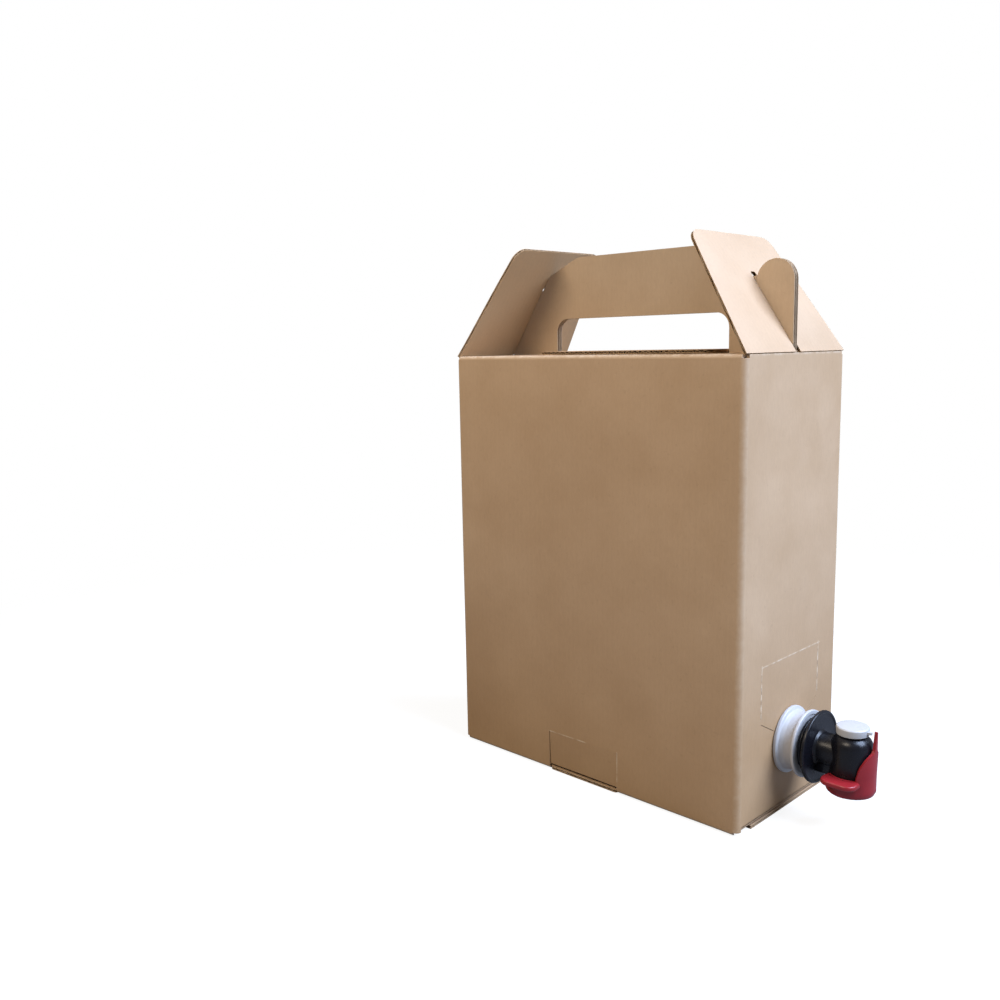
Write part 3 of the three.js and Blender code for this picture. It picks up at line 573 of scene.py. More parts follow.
def kraft_material(name, base, shade, flute_axis, walls_too=False):
    """Bare kraft liner: cloudy colour, fibres, specks and faint flute lines; on the walls also painted
    shade towards the foot, and pale creases that are partly wear and partly painted highlight.
    """
    material, tree, shader = new_material(name)
    place = tree.nodes.new("ShaderNodeTexCoord").outputs["Object"]
    paper = tree.nodes.new("ShaderNodeGroup")
    paper.node_tree = PAPER_MOTTLE
    paper.inputs["Cloud Scale"].default_value = 30.0
    tree.links.new(place, paper.inputs["Place"])
    cloudy = ramp(tree, paper.outputs["Cloud"], [(0.25, shade), (0.75, base)])
    patch = noise_at(tree, place, Scale=7.0, Detail=2.0, Roughness=0.5)
    patches = ramp(tree, patch, [(0.3, (0.90, 0.88, 0.855)), (0.7, (1.0, 1.0, 1.0))])
    colour = mix_colour(tree, 1.0, cloudy, patches, "MULTIPLY")
    fibres = ramp(tree, paper.outputs["Fibre"], [(0.25, grey(0.94)), (0.75, grey(1.03))])
    colour = mix_colour(tree, 1.0, colour, fibres, "MULTIPLY")
    dark = tuple(channel * 0.7 for channel in shade)
    colour = mix_colour(tree, math_node(tree, "MULTIPLY", paper.outputs["Speck"], 0.22), colour, dark)
    split = tree.nodes.new("ShaderNodeSeparateXYZ")
    tree.links.new(place, split.inputs[0])
    across = split.outputs[flute_axis]
    wave = math_node(tree, "SINE", math_node(tree, "MULTIPLY", across, math.tau / (FLUTE_PITCH * MM)))
    share = math_node(tree, "MULTIPLY_ADD", wave, 0.5, 0.5)
    lines = ramp(tree, share, [(0.0, grey(0.988)), (1.0, grey(1.0))])
    colour = mix_colour(tree, 1.0, colour, lines, "MULTIPLY")
    height = math_node(tree, "ADD", paper.outputs["Height"], math_node(tree, "MULTIPLY", wave, 0.2))
    if walls_too:
        # Painted shade: the walls turn darker and warmer towards the foot
        foot_painted_shade = band(tree, split.outputs["Z"], 0, 10, FOOT_PAINTED_SHADE_RISE)
        colour = mix_colour(tree, foot_painted_shade, colour, mix_colour(tree, 1.0, colour, WALL_FOOT_PAINTED_SHADE, "MULTIPLY"))
        # Pale creases: partly wear and partly painted highlight on the folds, the top crease and the cuts
        marks, ridges = wall_wear_and_highlight_marks(tree, place)
        crease_streaks = noise_at(tree, place, Scale=190.0, Detail=4.0, Roughness=0.7)
        broken = ramp(tree, crease_streaks, [(0.40, grey(0.1)), (0.62, grey(1.0))])
        crease_wear_and_highlight = math_node(tree, "MULTIPLY", marks, broken, clamp=True)
        colour = mix_colour(tree, crease_wear_and_highlight, colour, PALE_WEAR_AND_HIGHLIGHT)
        height = math_node(tree, "ADD", height, math_node(tree, "MULTIPLY", ridges, 1.5))
    tree.links.new(colour, shader.inputs["Base Color"])
    rough = ramp(tree, paper.outputs["Cloud"], [(0.3, grey(0.50)), (0.7, grey(0.60))])
    tree.links.new(rough, shader.inputs["Roughness"])
    add_bump(tree, shader, height, 0.16)
    shader.inputs["Specular IOR Level"].default_value = 0.5
    return material


def medium_material():
    """The fluted medium at the cut edges: darker, rough and slightly torn."""
    material, tree, shader = new_material("fluted_medium")
    place = tree.nodes.new("ShaderNodeTexCoord").outputs["Object"]
    paper = tree.nodes.new("ShaderNodeGroup")
    paper.node_tree = PAPER_MOTTLE
    paper.inputs["Cloud Scale"].default_value = 120.0
    tree.links.new(place, paper.inputs["Place"])
    colour = ramp(tree, paper.outputs["Cloud"], [(0.3, (0.20, 0.13, 0.07)), (0.7, (0.42, 0.30, 0.19))])
    tree.links.new(colour, shader.inputs["Base Color"])
    add_bump(tree, shader, paper.outputs["Height"], 0.3)
    shader.inputs["Roughness"].default_value = 0.9
    shader.inputs["Specular IOR Level"].default_value = 0.2
    return material


def plastic_material(name, base, shade, rough, grain, relief=0.08, shine=0.5):
    """Moulded plastic: a little tone variation, fine grain and scuffed roughness."""
    material, tree, shader = new_material(name)
    place = tree.nodes.new("ShaderNodeTexCoord").outputs["Object"]
    tone = noise_at(tree, place, Scale=70.0, Detail=3.0, Roughness=0.5)
    colour = ramp(tree, tone, [(0.3, shade), (0.7, base)])
    tree.links.new(colour, shader.inputs["Base Color"])
    scuff = noise_at(tree, place, Scale=380.0, Detail=4.0, Roughness=0.65)
    roughness = ramp(tree, scuff, [(0.3, grey(rough - 0.06)), (0.75, grey(rough + 0.1))])
    tree.links.new(roughness, shader.inputs["Roughness"])
    fine = noise_at(tree, place, Scale=grain, Detail=2.0, Roughness=0.5)
    add_bump(tree, shader, fine, relief, 0.0001)
    shader.inputs["Specular IOR Level"].default_value = shine
    return material


def film_material():
    """Silvery bag film with soft wrinkles."""
    material, tree, shader = new_material("bag_film")
    place = tree.nodes.new("ShaderNodeTexCoord").outputs["Object"]
    crinkle = noise_at(tree, place, Scale=60.0, Detail=6.0, Roughness=0.6, Distortion=0.6)
    colour = ramp(tree, crinkle, [(0.3, (0.55, 0.57, 0.60)), (0.7, (0.72, 0.74, 0.77))])
    tree.links.new(colour, shader.inputs["Base Color"])
    add_bump(tree, shader, crinkle, 0.5, 0.001)
    shader.inputs["Roughness"].default_value = 0.32
    return material


KRAFT = kraft_material("kraft_liner", *KRAFT_TONES, "X")
# The handle's liner: the walls' kraft with painted light, cooler and less saturated
KRAFT_PAINTED_LIGHT_HANDLE = kraft_material("kraft_liner_painted_light_handle", *HANDLE_PAINTED_LIGHT_TONES, "X")
# The walls' liner, with painted shade at the foot and painted highlights on the creases
KRAFT_WALL = kraft_material("kraft_liner_walls", *KRAFT_TONES, "X", walls_too=True)
KRAFT_SIDE = kraft_material("kraft_liner_side", *KRAFT_TONES, "Y")
# The end flaps' inner-face liner: the same kraft, darker and warmer as painted shade
KRAFT_INNER_PAINTED_SHADE = kraft_material("kraft_liner_inner_painted_shade", *INNER_PAINTED_SHADE_TONES, "Y")
MEDIUM = medium_material()
WHITE = plastic_material("gland_white", (0.45, 0.435, 0.425), (0.42, 0.405, 0.395), 0.36, 900.0)
CAP_WHITE = plastic_material("cap_white", (0.43, 0.415, 0.40), (0.40, 0.39, 0.375), 0.42, 1200.0)
BLACK = plastic_material("tap_black", (0.006, 0.006, 0.008), (0.004, 0.004, 0.006), 0.30, 700.0, 0.015, 0.3)
RED = plastic_material("lever_red", (0.26, 0.014, 0.018), (0.22, 0.010, 0.014), 0.34, 1000.0, 0.05, 0.4)
RUBBER = plastic_material("valve_rubber", (0.66, 0.68, 0.72), (0.58, 0.60, 0.64), 0.55, 600.0)
FILM = film_material()


# Carton pieces

def carton_piece(name, bm, liner):
    """A board piece that belongs to the fixed carton."""
    finish_mesh(name, bm, [liner, MEDIUM], "carton", "carton")


def walls():
    """Four walls with round upright folds, the tap's hole, the door's cuts and the lock tab's gap."""
    outline = rounded([
        (-HALF_WIDTH, -HALF_DEPTH, CORNER_RADIUS), (HALF_WIDTH, -HALF_DEPTH, CORNER_RADIUS),
        (HALF_WIDTH, HALF_DEPTH, CORNER_RADIUS), (-HALF_WIDTH, HALF_DEPTH, CORNER_RADIUS),
    ], 10)
    room = rounded([
        (-HALF_WIDTH + BOARD, -HALF_DEPTH + BOARD, CORNER_RADIUS - BOARD),
        (HALF_WIDTH - BOARD, -HALF_DEPTH + BOARD, CORNER_RADIUS - BOARD),
        (HALF_WIDTH - BOARD, HALF_DEPTH - BOARD, CORNER_RADIUS - BOARD),
        (-HALF_WIDTH + BOARD, HALF_DEPTH - BOARD, CORNER_RADIUS - BOARD),
    ], 10)
    top = WALL_HEIGHT - FOLD_OUTSIDE
    bm = prism(outline, [room], FOLD_OUTSIDE, top)
    flat_half = HALF_DEPTH - CORNER_RADIUS
    under = []
    for side in (-1, 1):
        inner, outer = sorted((side * (HALF_WIDTH - BOARD), side * HALF_WIDTH))
        lip = rectangle(inner, -flat_half, outer, flat_half)
        bm = boolean(bm, prism(lip, [], top - BOARD, WALL_HEIGHT - LAYER_GAP), "UNION")
        ends = sorted((side * (HALF_WIDTH - FOLD_RAMP), side * (HALF_WIDTH + 1)))
        under.append(prism(rectangle(ends[0], -flat_half, ends[1], flat_half), [], 0, LAYER + FOLD_OUTSIDE))
    under.append(prism(rectangle(TAB_LEFT, -HALF_DEPTH - 1, TAB_RIGHT, -HALF_DEPTH + 3), [], -1, TAB_RISE))
    for tool in under + door_cutters():
        bm = boolean(bm, tool, "DIFFERENCE")
    for axis, half in ((0, HALF_WIDTH), (1, HALF_DEPTH)):
        slice_up(bm, axis, -half + CORNER_RADIUS, half - CORNER_RADIUS, WALL_SLICE)
    slice_up(bm, 2, 0, WALL_HEIGHT, WALL_SLICE)
    bm.normal_update()
    for vert in bm.verts:
        middle_z = math.sin(math.pi * max(0.0, min(1.0, vert.co.z / top)))
        across_x = max(0.0, 1 - (abs(vert.co.x) / HALF_WIDTH) ** SWELL_POWER)
        across_y = max(0.0, 1 - (abs(vert.co.y) / HALF_DEPTH) ** SWELL_POWER)
        swell = noise.noise(Vector(vert.co) * SWELL_SCALE + SWELL_SEED)
        if abs(vert.co.y) > HALF_DEPTH - 2 * BOARD:
            vert.co.y += math.copysign(WALL_SWELL * (0.5 + swell) * middle_z * across_x, vert.co.y)
        if abs(vert.co.x) > HALF_WIDTH - 2 * BOARD and vert.co.z > DOOR_TOP:
            vert.co.x += math.copysign(END_WALL_SWELL * (0.5 + swell) * middle_z * across_y, vert.co.x)
    return bm


def wall_blade(y0, z0, y1, z1, width):
    """A knife cut through the tap's wall from one (y, z) point to another."""
    bm = block((4 * BOARD, math.hypot(y1 - y0, z1 - z0), width), (0, 0, 0))
    turn = Matrix.Rotation(math.atan2(z1 - z0, y1 - y0), 4, "X")
    move = Matrix.Translation((HALF_WIDTH - BOARD / 2, (y0 + y1) / 2, (z0 + z1) / 2))
    bmesh.ops.transform(bm, matrix=move @ turn, verts=bm.verts[:])
    return bm


def door_cutters():
    """The door's perforations, its two slanted cuts and the tap's round hole."""
    cutters = []
    for side in (-1, 1):
        z = DOOR_SHOULDER
        while z + PERFORATION < DOOR_TOP:
            cutters.append(wall_blade(side * DOOR_HALF, z, side * DOOR_HALF, z + PERFORATION, KERF))
            z += PERFORATION_STEP
        start = Vector((side * (DOOR_HALF - KERF), DOOR_SHOULDER - 3))
        centre = Vector((0, TAP_AXIS_Z))
        end = centre + (start - centre).normalized() * (HOLE_RADIUS + 3)
        cutters.append(wall_blade(start.x, start.y, end.x, end.y, KERF))
    hole = bmesh.new()
    bmesh.ops.create_cone(hole, cap_ends=True, segments=64, radius1=HOLE_RADIUS,
                          radius2=HOLE_RADIUS, depth=12)
    turn = Matrix.Rotation(math.pi / 2, 4, "Y")
    move = Matrix.Translation((HALF_WIDTH, 0, TAP_AXIS_Z))
    bmesh.ops.transform(hole, matrix=move @ turn, verts=hole.verts[:])
    cutters.append(hole)
    return cutters


def handle_corners():
    """Half outline of the handle in (x, height above the crease), from the ear to the top."""
    def flap_inside(rise):
        return HALF_WIDTH - BOARD / math.cos(FLAP_LEAN) - rise * math.tan(FLAP_LEAN)
    ear_inside = PANEL_HALF - EAR_WIDTH
    shoulder = HANDLE_RISE - SHOULDER_DROP
    ear_round = EAR_WIDTH / 2 - 0.01
    return [
        (PANEL_HALF, EAR_RISE, ear_round),
        (ear_inside, EAR_RISE, ear_round),
        (ear_inside, NOTCH_RISE, 1.0),
        (flap_inside(NOTCH_RISE) - SLIT_CLEARANCE, NOTCH_RISE, 1.0),
        (flap_inside(shoulder) - SLIT_CLEARANCE, shoulder, 6.0),
        (HANDLE_TOP_HALF, HANDLE_RISE, 14.0),
    ]


def handle_ply(side):
    """One upright ply of the handle. Side -1 is the front ply, whose face looks to -Y."""
    corners = handle_corners()
    base = [(PANEL_HALF, PLY_FOOT)] + corners + mirrored(corners) + [(-PANEL_HALF, PLY_FOOT)]
    half = HAND_HOLE_HALF
    legs = [(-half, PLY_FOOT), (-half, HAND_HOLE_RISE, HAND_HOLE_RADIUS),
            (half, HAND_HOLE_RISE, HAND_HOLE_RADIUS), (half, PLY_FOOT)]
    outline = rounded(base + legs, 8)
    bm = board(outline)
    slice_up(bm, 0, -PANEL_HALF, PANEL_HALF, HANDLE_SLICE)
    slice_up(bm, 1, 0, HANDLE_RISE, HANDLE_SLICE)
    ripple(bm, 2, 0.22, 0.02, 4.0 + side, lambda co: min(1.0, max(0.0, co.y / 20)))
    placed = Matrix(((1, 0, 0, 0), (0, 0, side, side * PLY_INNER), (0, 1, 0, WALL_HEIGHT), (0, 0, 0, 1)))
    return merge(bmesh.new(), bm, placed)


def top_panel(side):
    """Wall's top fold, level top panel and the fold up into the handle ply."""
    wall_middle = -HALF_DEPTH + BOARD / 2
    panel_middle = WALL_HEIGHT - BOARD / 2
    ply_middle = -PLY_INNER - BOARD / 2
    path = [
        (wall_middle, WALL_HEIGHT - FOLD_OUTSIDE),
        (wall_middle, panel_middle),
        (ply_middle, panel_middle),
        (ply_middle, WALL_HEIGHT + 0.5),
    ]
    bm = strip(path, -PANEL_HALF, PANEL_HALF)
    gap = prism(rectangle(-HAND_HOLE_HALF, -PLY_INNER - BOARD - FOLD_OUTSIDE, HAND_HOLE_HALF, 1),
                [], WALL_HEIGHT - FOLD_OUTSIDE, WALL_HEIGHT + 2)
    bm = boolean(bm, gap, "DIFFERENCE")
    merge(bm, hand_hole_tab())
    if side > 0:
        return merge(bmesh.new(), bm, Matrix.Scale(-1, 4, (0, 1, 0)))
    return bm


def hand_hole_tab():
    """The hand hole's piece, folded back flat on the top panel, with its rolled hinge."""
    low = WALL_HEIGHT - BOARD / 2
    high = low + LAYER
    ply_middle = -PLY_INNER - BOARD / 2
    end = -PLY_INNER - HAND_HOLE_RISE
    half = HAND_HOLE_HALF - LAYER_GAP
    hinge = -PLY_INNER - BOARD - FOLD_OUTSIDE
    roll = strip([(hinge - 1, low), (ply_middle, low), (ply_middle, high), (hinge, high)],
                 -half, half, LAYER_GAP / 2)
    outline = rounded([(-half, end, HAND_HOLE_RADIUS), (half, end, HAND_HOLE_RADIUS),
                       (half, hinge), (-half, hinge)], 8)
    sheet = board(outline)
    slice_up(sheet, 0, -half, half, TAB_SLICE)
    return merge(roll, sheet, Matrix.Translation((0, 0, WALL_HEIGHT + LAYER_GAP)))


def bottom_panel():
    """Outer bottom panel with the tongue, hinged at the back wall."""
    wall_half = HALF_WIDTH - CORNER_RADIUS
    panel_half = HALF_WIDTH - 0.4
    front = -HALF_DEPTH + FOLD_RAMP + LAYER_GAP
    tongue_end = -HALF_DEPTH + LAYER_GAP
    rear = HALF_DEPTH - FOLD_OUTSIDE
    outline = rounded([
        (TONGUE_OFFSET - TONGUE_HALF, tongue_end, 2.2), (TONGUE_OFFSET + TONGUE_HALF, tongue_end, 2.2),
        (TONGUE_OFFSET + TONGUE_HALF, front), (panel_half, front), (panel_half, rear), (-panel_half, rear),
        (-panel_half, front), (TONGUE_OFFSET - TONGUE_HALF, front),
    ])
    bm = board(outline)
    fold = strip([(rear - 0.2, BOARD / 2), (HALF_DEPTH - BOARD / 2, BOARD / 2),
                  (HALF_DEPTH - BOARD / 2, FOLD_OUTSIDE)], -wall_half, wall_half)
    return merge(bm, fold)


def front_bottom_flap():
    """Front wall's bottom fold and flap, cut back where the tongue passes."""
    wall_half = HALF_WIDTH - CORNER_RADIUS
    flap_half = HALF_WIDTH - FRONT_FLAP_INSET
    reach = -HALF_DEPTH + FRONT_FLAP_REACH
    trim = prism(rounded([
        (-wall_half, -HALF_DEPTH - 1), (wall_half, -HALF_DEPTH - 1), (wall_half, -HALF_DEPTH + 2.1),
        (flap_half, -HALF_DEPTH + CORNER_RADIUS), (flap_half - FLAP_ROUNDING, reach, FLAP_ROUNDING),
        (-flap_half + FLAP_ROUNDING, reach, FLAP_ROUNDING),
        (-flap_half, -HALF_DEPTH + CORNER_RADIUS), (-wall_half, -HALF_DEPTH + 2.1),
    ]), [], -1, 8)
    middle = -HALF_DEPTH + BOARD / 2
    path = [
        (middle, FOLD_OUTSIDE + FOLD_LAP),
        (middle, BOARD / 2),
        (-HALF_DEPTH + FOLD_RAMP, LAYER + BOARD / 2),
        (reach, LAYER + BOARD / 2),
    ]
    bm = strip(path, -wall_half, wall_half, trim=trim)
    behind = -HALF_DEPTH + FOLD_RAMP + LAYER_GAP
    slot = prism(rectangle(TAB_LEFT, -HALF_DEPTH - 1, TAB_RIGHT, behind), [], -2, 9)
    return boolean(bm, slot, "DIFFERENCE")


def dust_flap(side):
    """Narrow wall's bottom fold and dust flap, the innermost layer."""
    wall_half = HALF_DEPTH - CORNER_RADIUS
    flap_half = HALF_DEPTH - DUST_FLAP_INSET
    reach = HALF_WIDTH - DUST_FLAP_REACH
    trim = prism(rounded([
        (HALF_WIDTH + 1, -wall_half), (HALF_WIDTH + 1, wall_half),
        (HALF_WIDTH - FOLD_RAMP, flap_half - LAYER_GAP),
        (reach, flap_half - FLAP_ROUNDING, FLAP_ROUNDING),
        (reach, -flap_half + FLAP_ROUNDING, FLAP_ROUNDING),
        (HALF_WIDTH - FOLD_RAMP, -flap_half + LAYER_GAP),
    ]), [], 0, 12)
    middle = HALF_WIDTH - BOARD / 2
    edge = folded_path([
        (middle, LAYER + FOLD_OUTSIDE + FOLD_LAP),
        (middle, LAYER + BOARD / 2),
        (HALF_WIDTH - FOLD_RAMP, 2 * LAYER + BOARD / 2),
        (reach, 2 * LAYER + BOARD / 2),
    ], FOLD_INSIDE)
    bm = prism(edge, [], -wall_half, wall_half)
    turn = Matrix(((1, 0, 0, 0), (0, 0, -1, 0), (0, 1, 0, 0), (0, 0, 0, 1)))
    bmesh.ops.transform(bm, matrix=turn, verts=bm.verts[:])
    bm = boolean(bm, trim, "INTERSECT")
    if side < 0:
        return merge(bmesh.new(), bm, Matrix.Scale(-1, 4, (1, 0, 0)))
    return bm


def lock_tab():
    """Tab cut in the front wall, hinged at its top and pushed in a little over the tongue."""
    half = TONGUE_HALF
    outline = rectangle(-half, -(TAB_RISE - TAB_LIFT), half, 0)
    bm = board(outline)
    turn = Matrix.Rotation(TAB_PUSH, 4, "X")
    stand = Matrix(((1, 0, 0, 0), (0, 0, 1, 0), (0, 1, 0, 0), (0, 0, 0, 1)))
    move = Matrix.Translation((TONGUE_OFFSET, -HALF_DEPTH, TAB_RISE))
    return merge(bmesh.new(), bm, move @ turn @ stand)


# End flaps

def slit_length():
    """How far the slit runs up the flap to let the ear through."""
    radius = EAR_WIDTH / 2
    return math.hypot(HALF_WIDTH - PANEL_HALF + radius, EAR_RISE - radius) + radius + SLIT_CLEARANCE


def end_flap(side):
    """End flap on the +X side for side 1, or the -X side for side -1."""
    outline = rounded([
        (SLIT_HALF, FLAP_FOOT), (FLAP_HINGE_HALF, FLAP_FOOT),
        (FLAP_TOP_HALF, FLAP_LENGTH, FLAP_CORNER_RADIUS),
        (-FLAP_TOP_HALF, FLAP_LENGTH, FLAP_CORNER_RADIUS),
        (-FLAP_HINGE_HALF, FLAP_FOOT), (-SLIT_HALF, FLAP_FOOT),
        (-SLIT_HALF, slit_length(), SLIT_HALF / 2), (SLIT_HALF, slit_length(), SLIT_HALF / 2),
    ], 8)
    bm = board(outline)
    slice_up(bm, 0, -FLAP_HINGE_HALF, FLAP_HINGE_HALF, WALL_SLICE)
    slice_up(bm, 1, 0, FLAP_LENGTH, WALL_SLICE)
    # The inner face takes the third slot's liner, which is darker and warmer as painted shade
    for face in bm.faces:
        if face.material_index == LINER_SLOT and face.calc_center_median().z > BOARD / 2:
            face.material_index = FLAP_INNER_SHADE_SLOT
    ripple(bm, 2, 0.5, 0.022, 9.0 + side, lambda co: min(1.0, co.y / 15))
    lean_in = math.sin(FLAP_LEAN)
    lean_up = math.cos(FLAP_LEAN)
    placed = Matrix((
        (0, -side * lean_in, -side * lean_up, side * HALF_WIDTH),
        (1, 0, 0, 0),
        (0, lean_up, -lean_in, WALL_HEIGHT),
        (0, 0, 0, 1),
    ))
    return merge(bmesh.new(), bm, placed)


# Tap pieces: turned ones follow a profile of (radius, height) or (radius, height, rounding)

def turned(profile, axis):
    """A closed profile of (radius, height) points spun about the tap's level or upright axis."""
    bm = bmesh.new()
    verts = [bm.verts.new((radius, 0, height)) for radius, height in profile]
    edges = [bm.edges.new((verts[i - 1], verts[i])) for i in range(len(verts))]
    bmesh.ops.spin(bm, geom=verts + edges, axis=(0, 0, 1), cent=(0, 0, 0), dvec=(0, 0, 0),
                   angle=math.tau, steps=TURN_STEPS, use_merge=True, use_duplicate=False)
    bmesh.ops.remove_doubles(bm, verts=bm.verts[:], dist=WELD_DISTANCE)
    flat = [face for face in bm.faces if face.calc_area() < 1e-7]
    bmesh.ops.delete(bm, geom=flat, context="FACES_ONLY")
    bmesh.ops.recalc_face_normals(bm, faces=bm.faces[:])
    if axis == "X":
        turn = Matrix(((0, 0, 1, 0), (0, 1, 0, 0), (-1, 0, 0, TAP_AXIS_Z), (0, 0, 0, 1)))
    else:
        turn = Matrix.Translation((BODY_X, 0, TAP_AXIS_Z))
    bmesh.ops.transform(bm, matrix=turn, verts=bm.verts[:])
    return bm


def soft_profile(corners, steps=4):
    """A profile whose corners are (radius, height) or (radius, height, rounding)."""
    return [tuple(point) for point in rounded(corners, steps)]


def gland():
    """White spout with its weld flange, board groove, waist and front lip."""
    groove = HALF_WIDTH - BOARD - SEAT_GAP
    weld = groove - 5
    return turned(soft_profile([
        (11.2, weld - 1.2), (23, weld - 1.2, 0.4), (23, weld, 0.4), (16, weld, 0.5),
        (16, groove - 1.7, 0.3), (19, groove - 1.7, 0.4), (19, groove, 0.4), (16, groove),
        (16, GLAND_FACE), (19, GLAND_FACE, 0.5), (19, GLAND_FACE + 1.9, 0.7),
        (17.2, GLAND_FACE + 2.5, 0.5), (16.3, GLAND_FACE + 4.8, 2.0), (16.4, GLAND_LIP - 2.4, 0.6),
        (18.9, GLAND_LIP - 1.7, 0.5), (18.9, GLAND_LIP, 0.5), (16.6, GLAND_LIP, 0.3),
        (16.2, GLAND_LIP - 0.5, 0.2), (13, GLAND_LIP - 0.5, 0.2), (12.6, GLAND_LIP, 0.2), (11.2, GLAND_LIP),
    ]), "X")


def tap_body():
    """Black shank, collar, disc and inlet, with the upright chamber and its web."""
    lip = GLAND_LIP + SEAT_GAP
    disc = lip + 4.6
    outer = turned(soft_profile([
        (6.9, lip - 19), (10.4, lip - 19, 0.4), (10.9, lip - 17, 0.4), (10.9, lip), (15.2, lip, 0.6),
        (15.6, lip + 1.6, 0.6), (14.6, lip + 2.4, 0.5), (14.6, disc - 0.8, 0.8), (16.5, disc, 0.5),
        (20.2, disc, 0.5), (20.2, disc + 1.9, 0.7), (18.8, disc + 1.9, 0.3), (18.4, disc + 1.5, 0.3),
        (9.8, disc + 1.5, 0.8), (8.8, disc + 3, 1.0), (8.8, BODY_X - 3), (6.9, BODY_X - 3),
    ]), "X")
    chamber = turned(soft_profile([
        (5.6, -13.2), (11, -13.2, 0.5), (11, 10.6, 6.6), (7.2, 11.9, 0.6), (7.2, 15.4, 0.4),
        (5.5, 15.4), (5.5, 10.6), (9.3, 6.6), (9.3, -11.6), (5.6, -11.6),
    ]), "Z")
    web_start = disc + 1.4
    web_end = BODY_X - 9.8
    web = block((web_end - web_start, 9.0, 12.8), ((web_start + web_end) / 2, 0, TAP_AXIS_Z - 6.4))
    bmesh.ops.bevel(web, geom=web.edges[:], offset=0.5, offset_type="OFFSET", segments=2, profile=0.5,
                    affect="EDGES", material=-1)
    merge(outer, chamber)
    merge(outer, web)
    return outer


def tap_cap():
    """White dome cap with its nib."""
    bm = turned(soft_profile([
        (7.5, 12.6), (8.5, 12.6, 0.3), (8.7, 16.4, 0.7), (8.0, 17.0, 0.4), (5.0, 17.25, 2.0), (0.0, 17.3),
        (0.0, 16.1), (7.5, 15.8),
    ]), "Z")
    nib = prism(rounded([(7.8, -1.5), (10.6, -0.9, 0.7), (10.8, 0.9, 0.7), (7.8, 1.5)]), [], 14.4, 15.7)
    bmesh.ops.transform(nib, matrix=Matrix.Translation((BODY_X, 0, TAP_AXIS_Z)), verts=nib.verts[:])
    return merge(bm, nib)


def shield_top(angle):
    """Height of the lever's upper edge above the level axis, with the notch that clears the inlet."""
    angle = abs(angle)
    across = LEVER_NOTCH_RADIUS * math.sin(math.radians(angle))
    if angle > 90 and across < INLET_ROOM:
        return min(WING_TOP, -LEVER_TRAVEL - math.sqrt(INLET_ROOM ** 2 - across ** 2))
    for (a0, z0), (a1, z1) in zip(SHIELD_STOPS, SHIELD_STOPS[1:]):
        if angle <= a1:
            return z0 + (z1 - z0) * (angle - a0) / (a1 - a0)
    return WING_TOP


def tap_lever():
    """Ring open at the back, front shield, finger wing and the bar that carries the valve."""
    bm = bmesh.new()
    bmesh.ops.create_grid(bm, x_segments=160, y_segments=14, size=0.5)
    shield_rise = SHIELD_STOPS[0][1] - WING_TOP
    for vert in bm.verts:
        angle = (vert.co.x * 2) * (180 - LEVER_OPEN_HALF)
        share = vert.co.y + 0.5
        height = LEVER_FOOT + share * (shield_top(angle) - LEVER_FOOT)
        flare = 0.8 * max(0.0, (height - WING_TOP) / shield_rise)
        tuck = 0.9 * max(0.0, 1 - (height - LEVER_FOOT) / 1.2) ** 2
        radius = LEVER_INSIDE + LEVER_WALL + flare - tuck
        turn = math.radians(angle)
        vert.co = (radius * math.cos(turn), radius * math.sin(turn), height)
    bmesh.ops.recalc_face_normals(bm, faces=bm.faces[:])
    middle = max(bm.faces, key=lambda face: face.calc_center_median().x)
    if middle.normal.x < 0:
        bmesh.ops.reverse_faces(bm, faces=bm.faces[:])
    bmesh.ops.solidify(bm, geom=bm.faces[:], thickness=LEVER_WALL)
    wing = prism(rounded([
        (-9.6, -20, 5.5), (9.6, -20, 5.5), (10, -11), (7.5, -9.2), (3.9, -11.3),
        (0, -11.9), (-3.9, -11.3), (-7.5, -9.2), (-10, -11),
    ], 8), [], WING_FLOOR, WING_TOP)
    rims = [edge for edge in wing.edges if abs(edge.verts[0].co.z - edge.verts[1].co.z) < 0.01
            and edge.calc_face_angle(0) > 1.0]
    bmesh.ops.bevel(wing, geom=rims, offset=0.9, offset_type="OFFSET", segments=3, profile=0.5,
                    affect="EDGES", material=-1)
    merge(bm, wing)
    merge(bm, block((3.4, 2 * LEVER_INSIDE + LEVER_WALL, 1.2), (0, 0, LEVER_FOOT + 0.6)))
    bmesh.ops.translate(bm, vec=(BODY_X, 0, TAP_AXIS_Z), verts=bm.verts[:])
    return bm


def tap_valve():
    """Stem with the plug that closes the chamber's foot."""
    return turned(soft_profile([
        (0, -18.3), (2.4, -18.3, 0.3), (2.4, -11.3), (7.4, -11.3, 0.4), (7.4, -9.3, 0.5), (2.4, -6.3, 0.6),
        (2.4, 9.6, 0.4), (0, 9.6),
    ]), "Z")


def squared(value):
    """A coordinate of a unit ball pushed outwards, which turns the ball into a pillow."""
    return math.copysign(abs(value) ** BAG_SQUARENESS, value) if abs(value) > 1e-6 else 0.0


